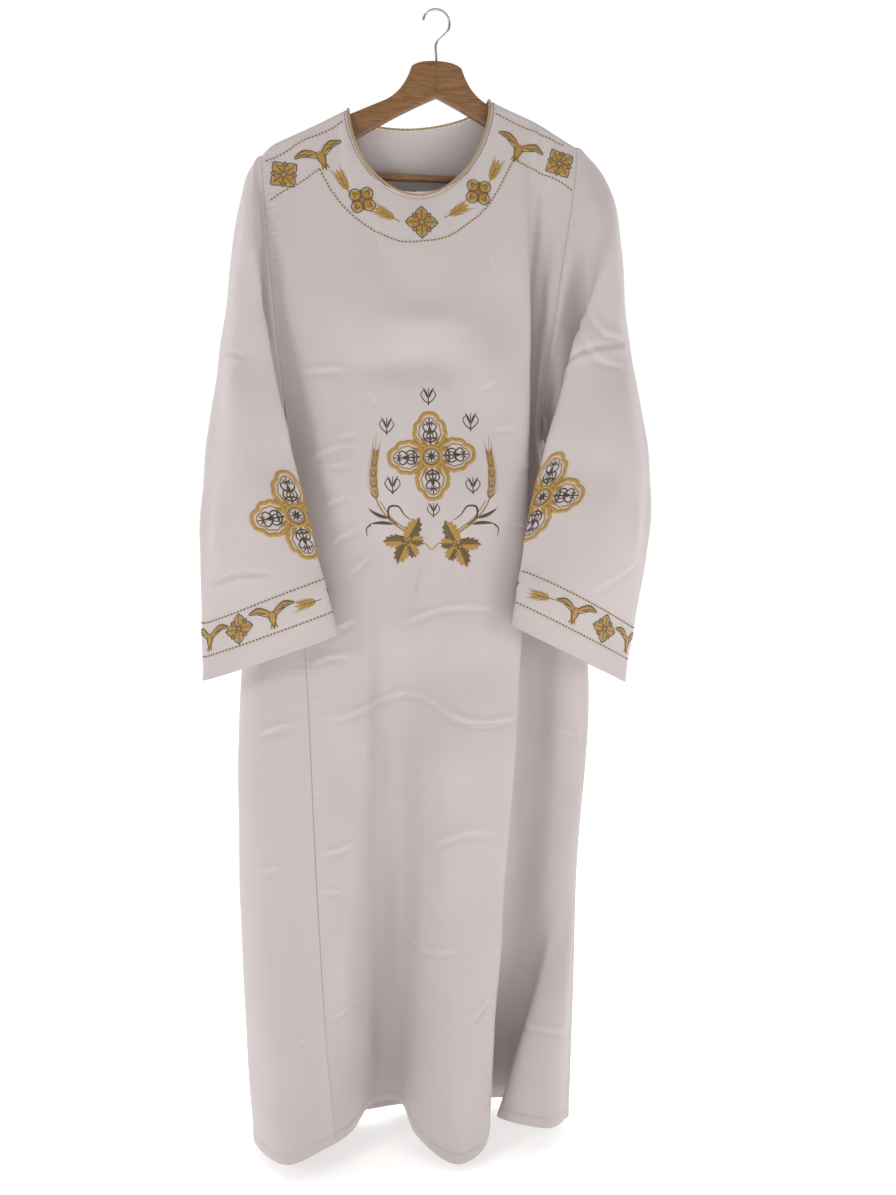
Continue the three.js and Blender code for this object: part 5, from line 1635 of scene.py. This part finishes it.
class TunicSettings(bpy.types.PropertyGroup):
    """Sizes and colours that a user may change before building."""
    cloth_thickness: length_property("Cloth thickness", "Wall of the panels and sleeves", 0.0008, 0.0003, 0.0014)
    hem_height: length_property("Hem height", "From the hem's edge to its stitching", 0.015, 0.005, 0.04)
    weave_pitch: length_property("Weave pitch", "From one weft thread to the next", 0.0004, 0.0002, 0.002)
    thread_width: length_property("Thread width", "Width of one thread of the satin stitch", 0.0008, 0.0002, 0.003)
    floor_level: length_property("Floor level", "Height of the floor, below the hook", -1.66, -5, -1.652)
    cloth_colour: colour_property("Cloth", "Colour of the satin", "#ccc3c1")
    cord_colour: colour_property("Cord", "Colour of the cord round the neck", "#c2ac88")
    gold_colour: colour_property("Gold thread", "Lighter colour of the embroidery", "#cfa246")
    brown_colour: colour_property("Brown thread", "Darker colour of the embroidery", "#4c3929")
    wood_colour: colour_property("Hanger wood", "Colour of the arms", "#9a7048")
    bar_colour: colour_property("Bar wood", "Colour of the trouser bar", "#9a724f")
    steel_colour: colour_property("Hook", "Colour of the steel wire", "#c3c6c9")


def settings():
    """The scene's settings for the tunic."""
    return bpy.context.scene.deacon_tunic


class TUNIC_OT_yoke(bpy.types.Operator):
    """Embroider the yoke, front and back"""
    bl_idname = "tunic.yoke"
    bl_label = "Yoke embroidery"

    def execute(self, context):
        make_yoke()
        return {"FINISHED"}


class TUNIC_OT_chest(bpy.types.Operator):
    """Embroider the cross, wheat and vine leaves on the chest"""
    bl_idname = "tunic.chest"
    bl_label = "Chest embroidery"

    def execute(self, context):
        make_chest()
        return {"FINISHED"}


class TUNIC_OT_sleeve_work(bpy.types.Operator):
    """Embroider the sleeves and their cuffs"""
    bl_idname = "tunic.sleeve_work"
    bl_label = "Sleeve embroidery"

    def execute(self, context):
        make_sleeve_work()
        return {"FINISHED"}


class TUNIC_OT_hem_stitches(bpy.types.Operator):
    """Stitch the body's hem"""
    bl_idname = "tunic.hem_stitches"
    bl_label = "Hem stitches"

    def execute(self, context):
        make_hem_stitches()
        return {"FINISHED"}


class TUNIC_OT_panels(bpy.types.Operator):
    """Build the front and back panels"""
    bl_idname = "tunic.panels"
    bl_label = "Panels"

    def execute(self, context):
        make_panels()
        return {"FINISHED"}


class TUNIC_OT_sleeves(bpy.types.Operator):
    """Build the two sleeves"""
    bl_idname = "tunic.sleeves"
    bl_label = "Sleeves"

    def execute(self, context):
        make_sleeves()
        return {"FINISHED"}


class TUNIC_OT_binding(bpy.types.Operator):
    """Build the cord round the neck"""
    bl_idname = "tunic.binding"
    bl_label = "Neck cord"

    def execute(self, context):
        make_binding()
        return {"FINISHED"}


class TUNIC_OT_arms(bpy.types.Operator):
    """Build the hanger's two arms"""
    bl_idname = "tunic.arms"
    bl_label = "Hanger arms"

    def execute(self, context):
        make_arms()
        return {"FINISHED"}


class TUNIC_OT_bar(bpy.types.Operator):
    """Build the trouser bar"""
    bl_idname = "tunic.bar"
    bl_label = "Trouser bar"

    def execute(self, context):
        make_bar()
        return {"FINISHED"}


class TUNIC_OT_hook(bpy.types.Operator):
    """Build the wire hook"""
    bl_idname = "tunic.hook"
    bl_label = "Hook"

    def execute(self, context):
        make_hook()
        return {"FINISHED"}


class TUNIC_OT_stage(bpy.types.Operator):
    """Add the floor, the lights, the camera and the white surroundings"""
    bl_idname = "tunic.stage"
    bl_label = "Floor, lights and camera"

    def execute(self, context):
        make_stage()
        return {"FINISHED"}


OPERATORS = (TUNIC_OT_yoke, TUNIC_OT_chest, TUNIC_OT_sleeve_work, TUNIC_OT_hem_stitches, TUNIC_OT_panels,
             TUNIC_OT_sleeves, TUNIC_OT_binding, TUNIC_OT_arms, TUNIC_OT_bar, TUNIC_OT_hook, TUNIC_OT_stage)


class TUNIC_PT_panel(bpy.types.Panel):
    """Lists the tunic's pieces and their settings"""
    bl_idname = "TUNIC_PT_panel"
    bl_label = "Deacon tunic"
    bl_space_type = "VIEW_3D"
    bl_region_type = "UI"
    bl_category = "Tunic"

    def draw(self, context):
        for name in TunicSettings.__annotations__:
            self.layout.prop(context.scene.deacon_tunic, name)
        for operator in OPERATORS:
            self.layout.operator(operator.bl_idname)


CLASSES = (TunicSettings, *OPERATORS, TUNIC_PT_panel)


def register():
    for kind in CLASSES:
        bpy.utils.register_class(kind)
    bpy.types.Scene.deacon_tunic = bpy.props.PointerProperty(type=TunicSettings)


def unregister():
    del bpy.types.Scene.deacon_tunic
    for kind in reversed(CLASSES):
        bpy.utils.unregister_class(kind)


def main():
    register()
    for operator in OPERATORS:
        group, name = operator.bl_idname.split(".")
        getattr(getattr(bpy.ops, group), name)()


if __name__ == "__main__":
    main()
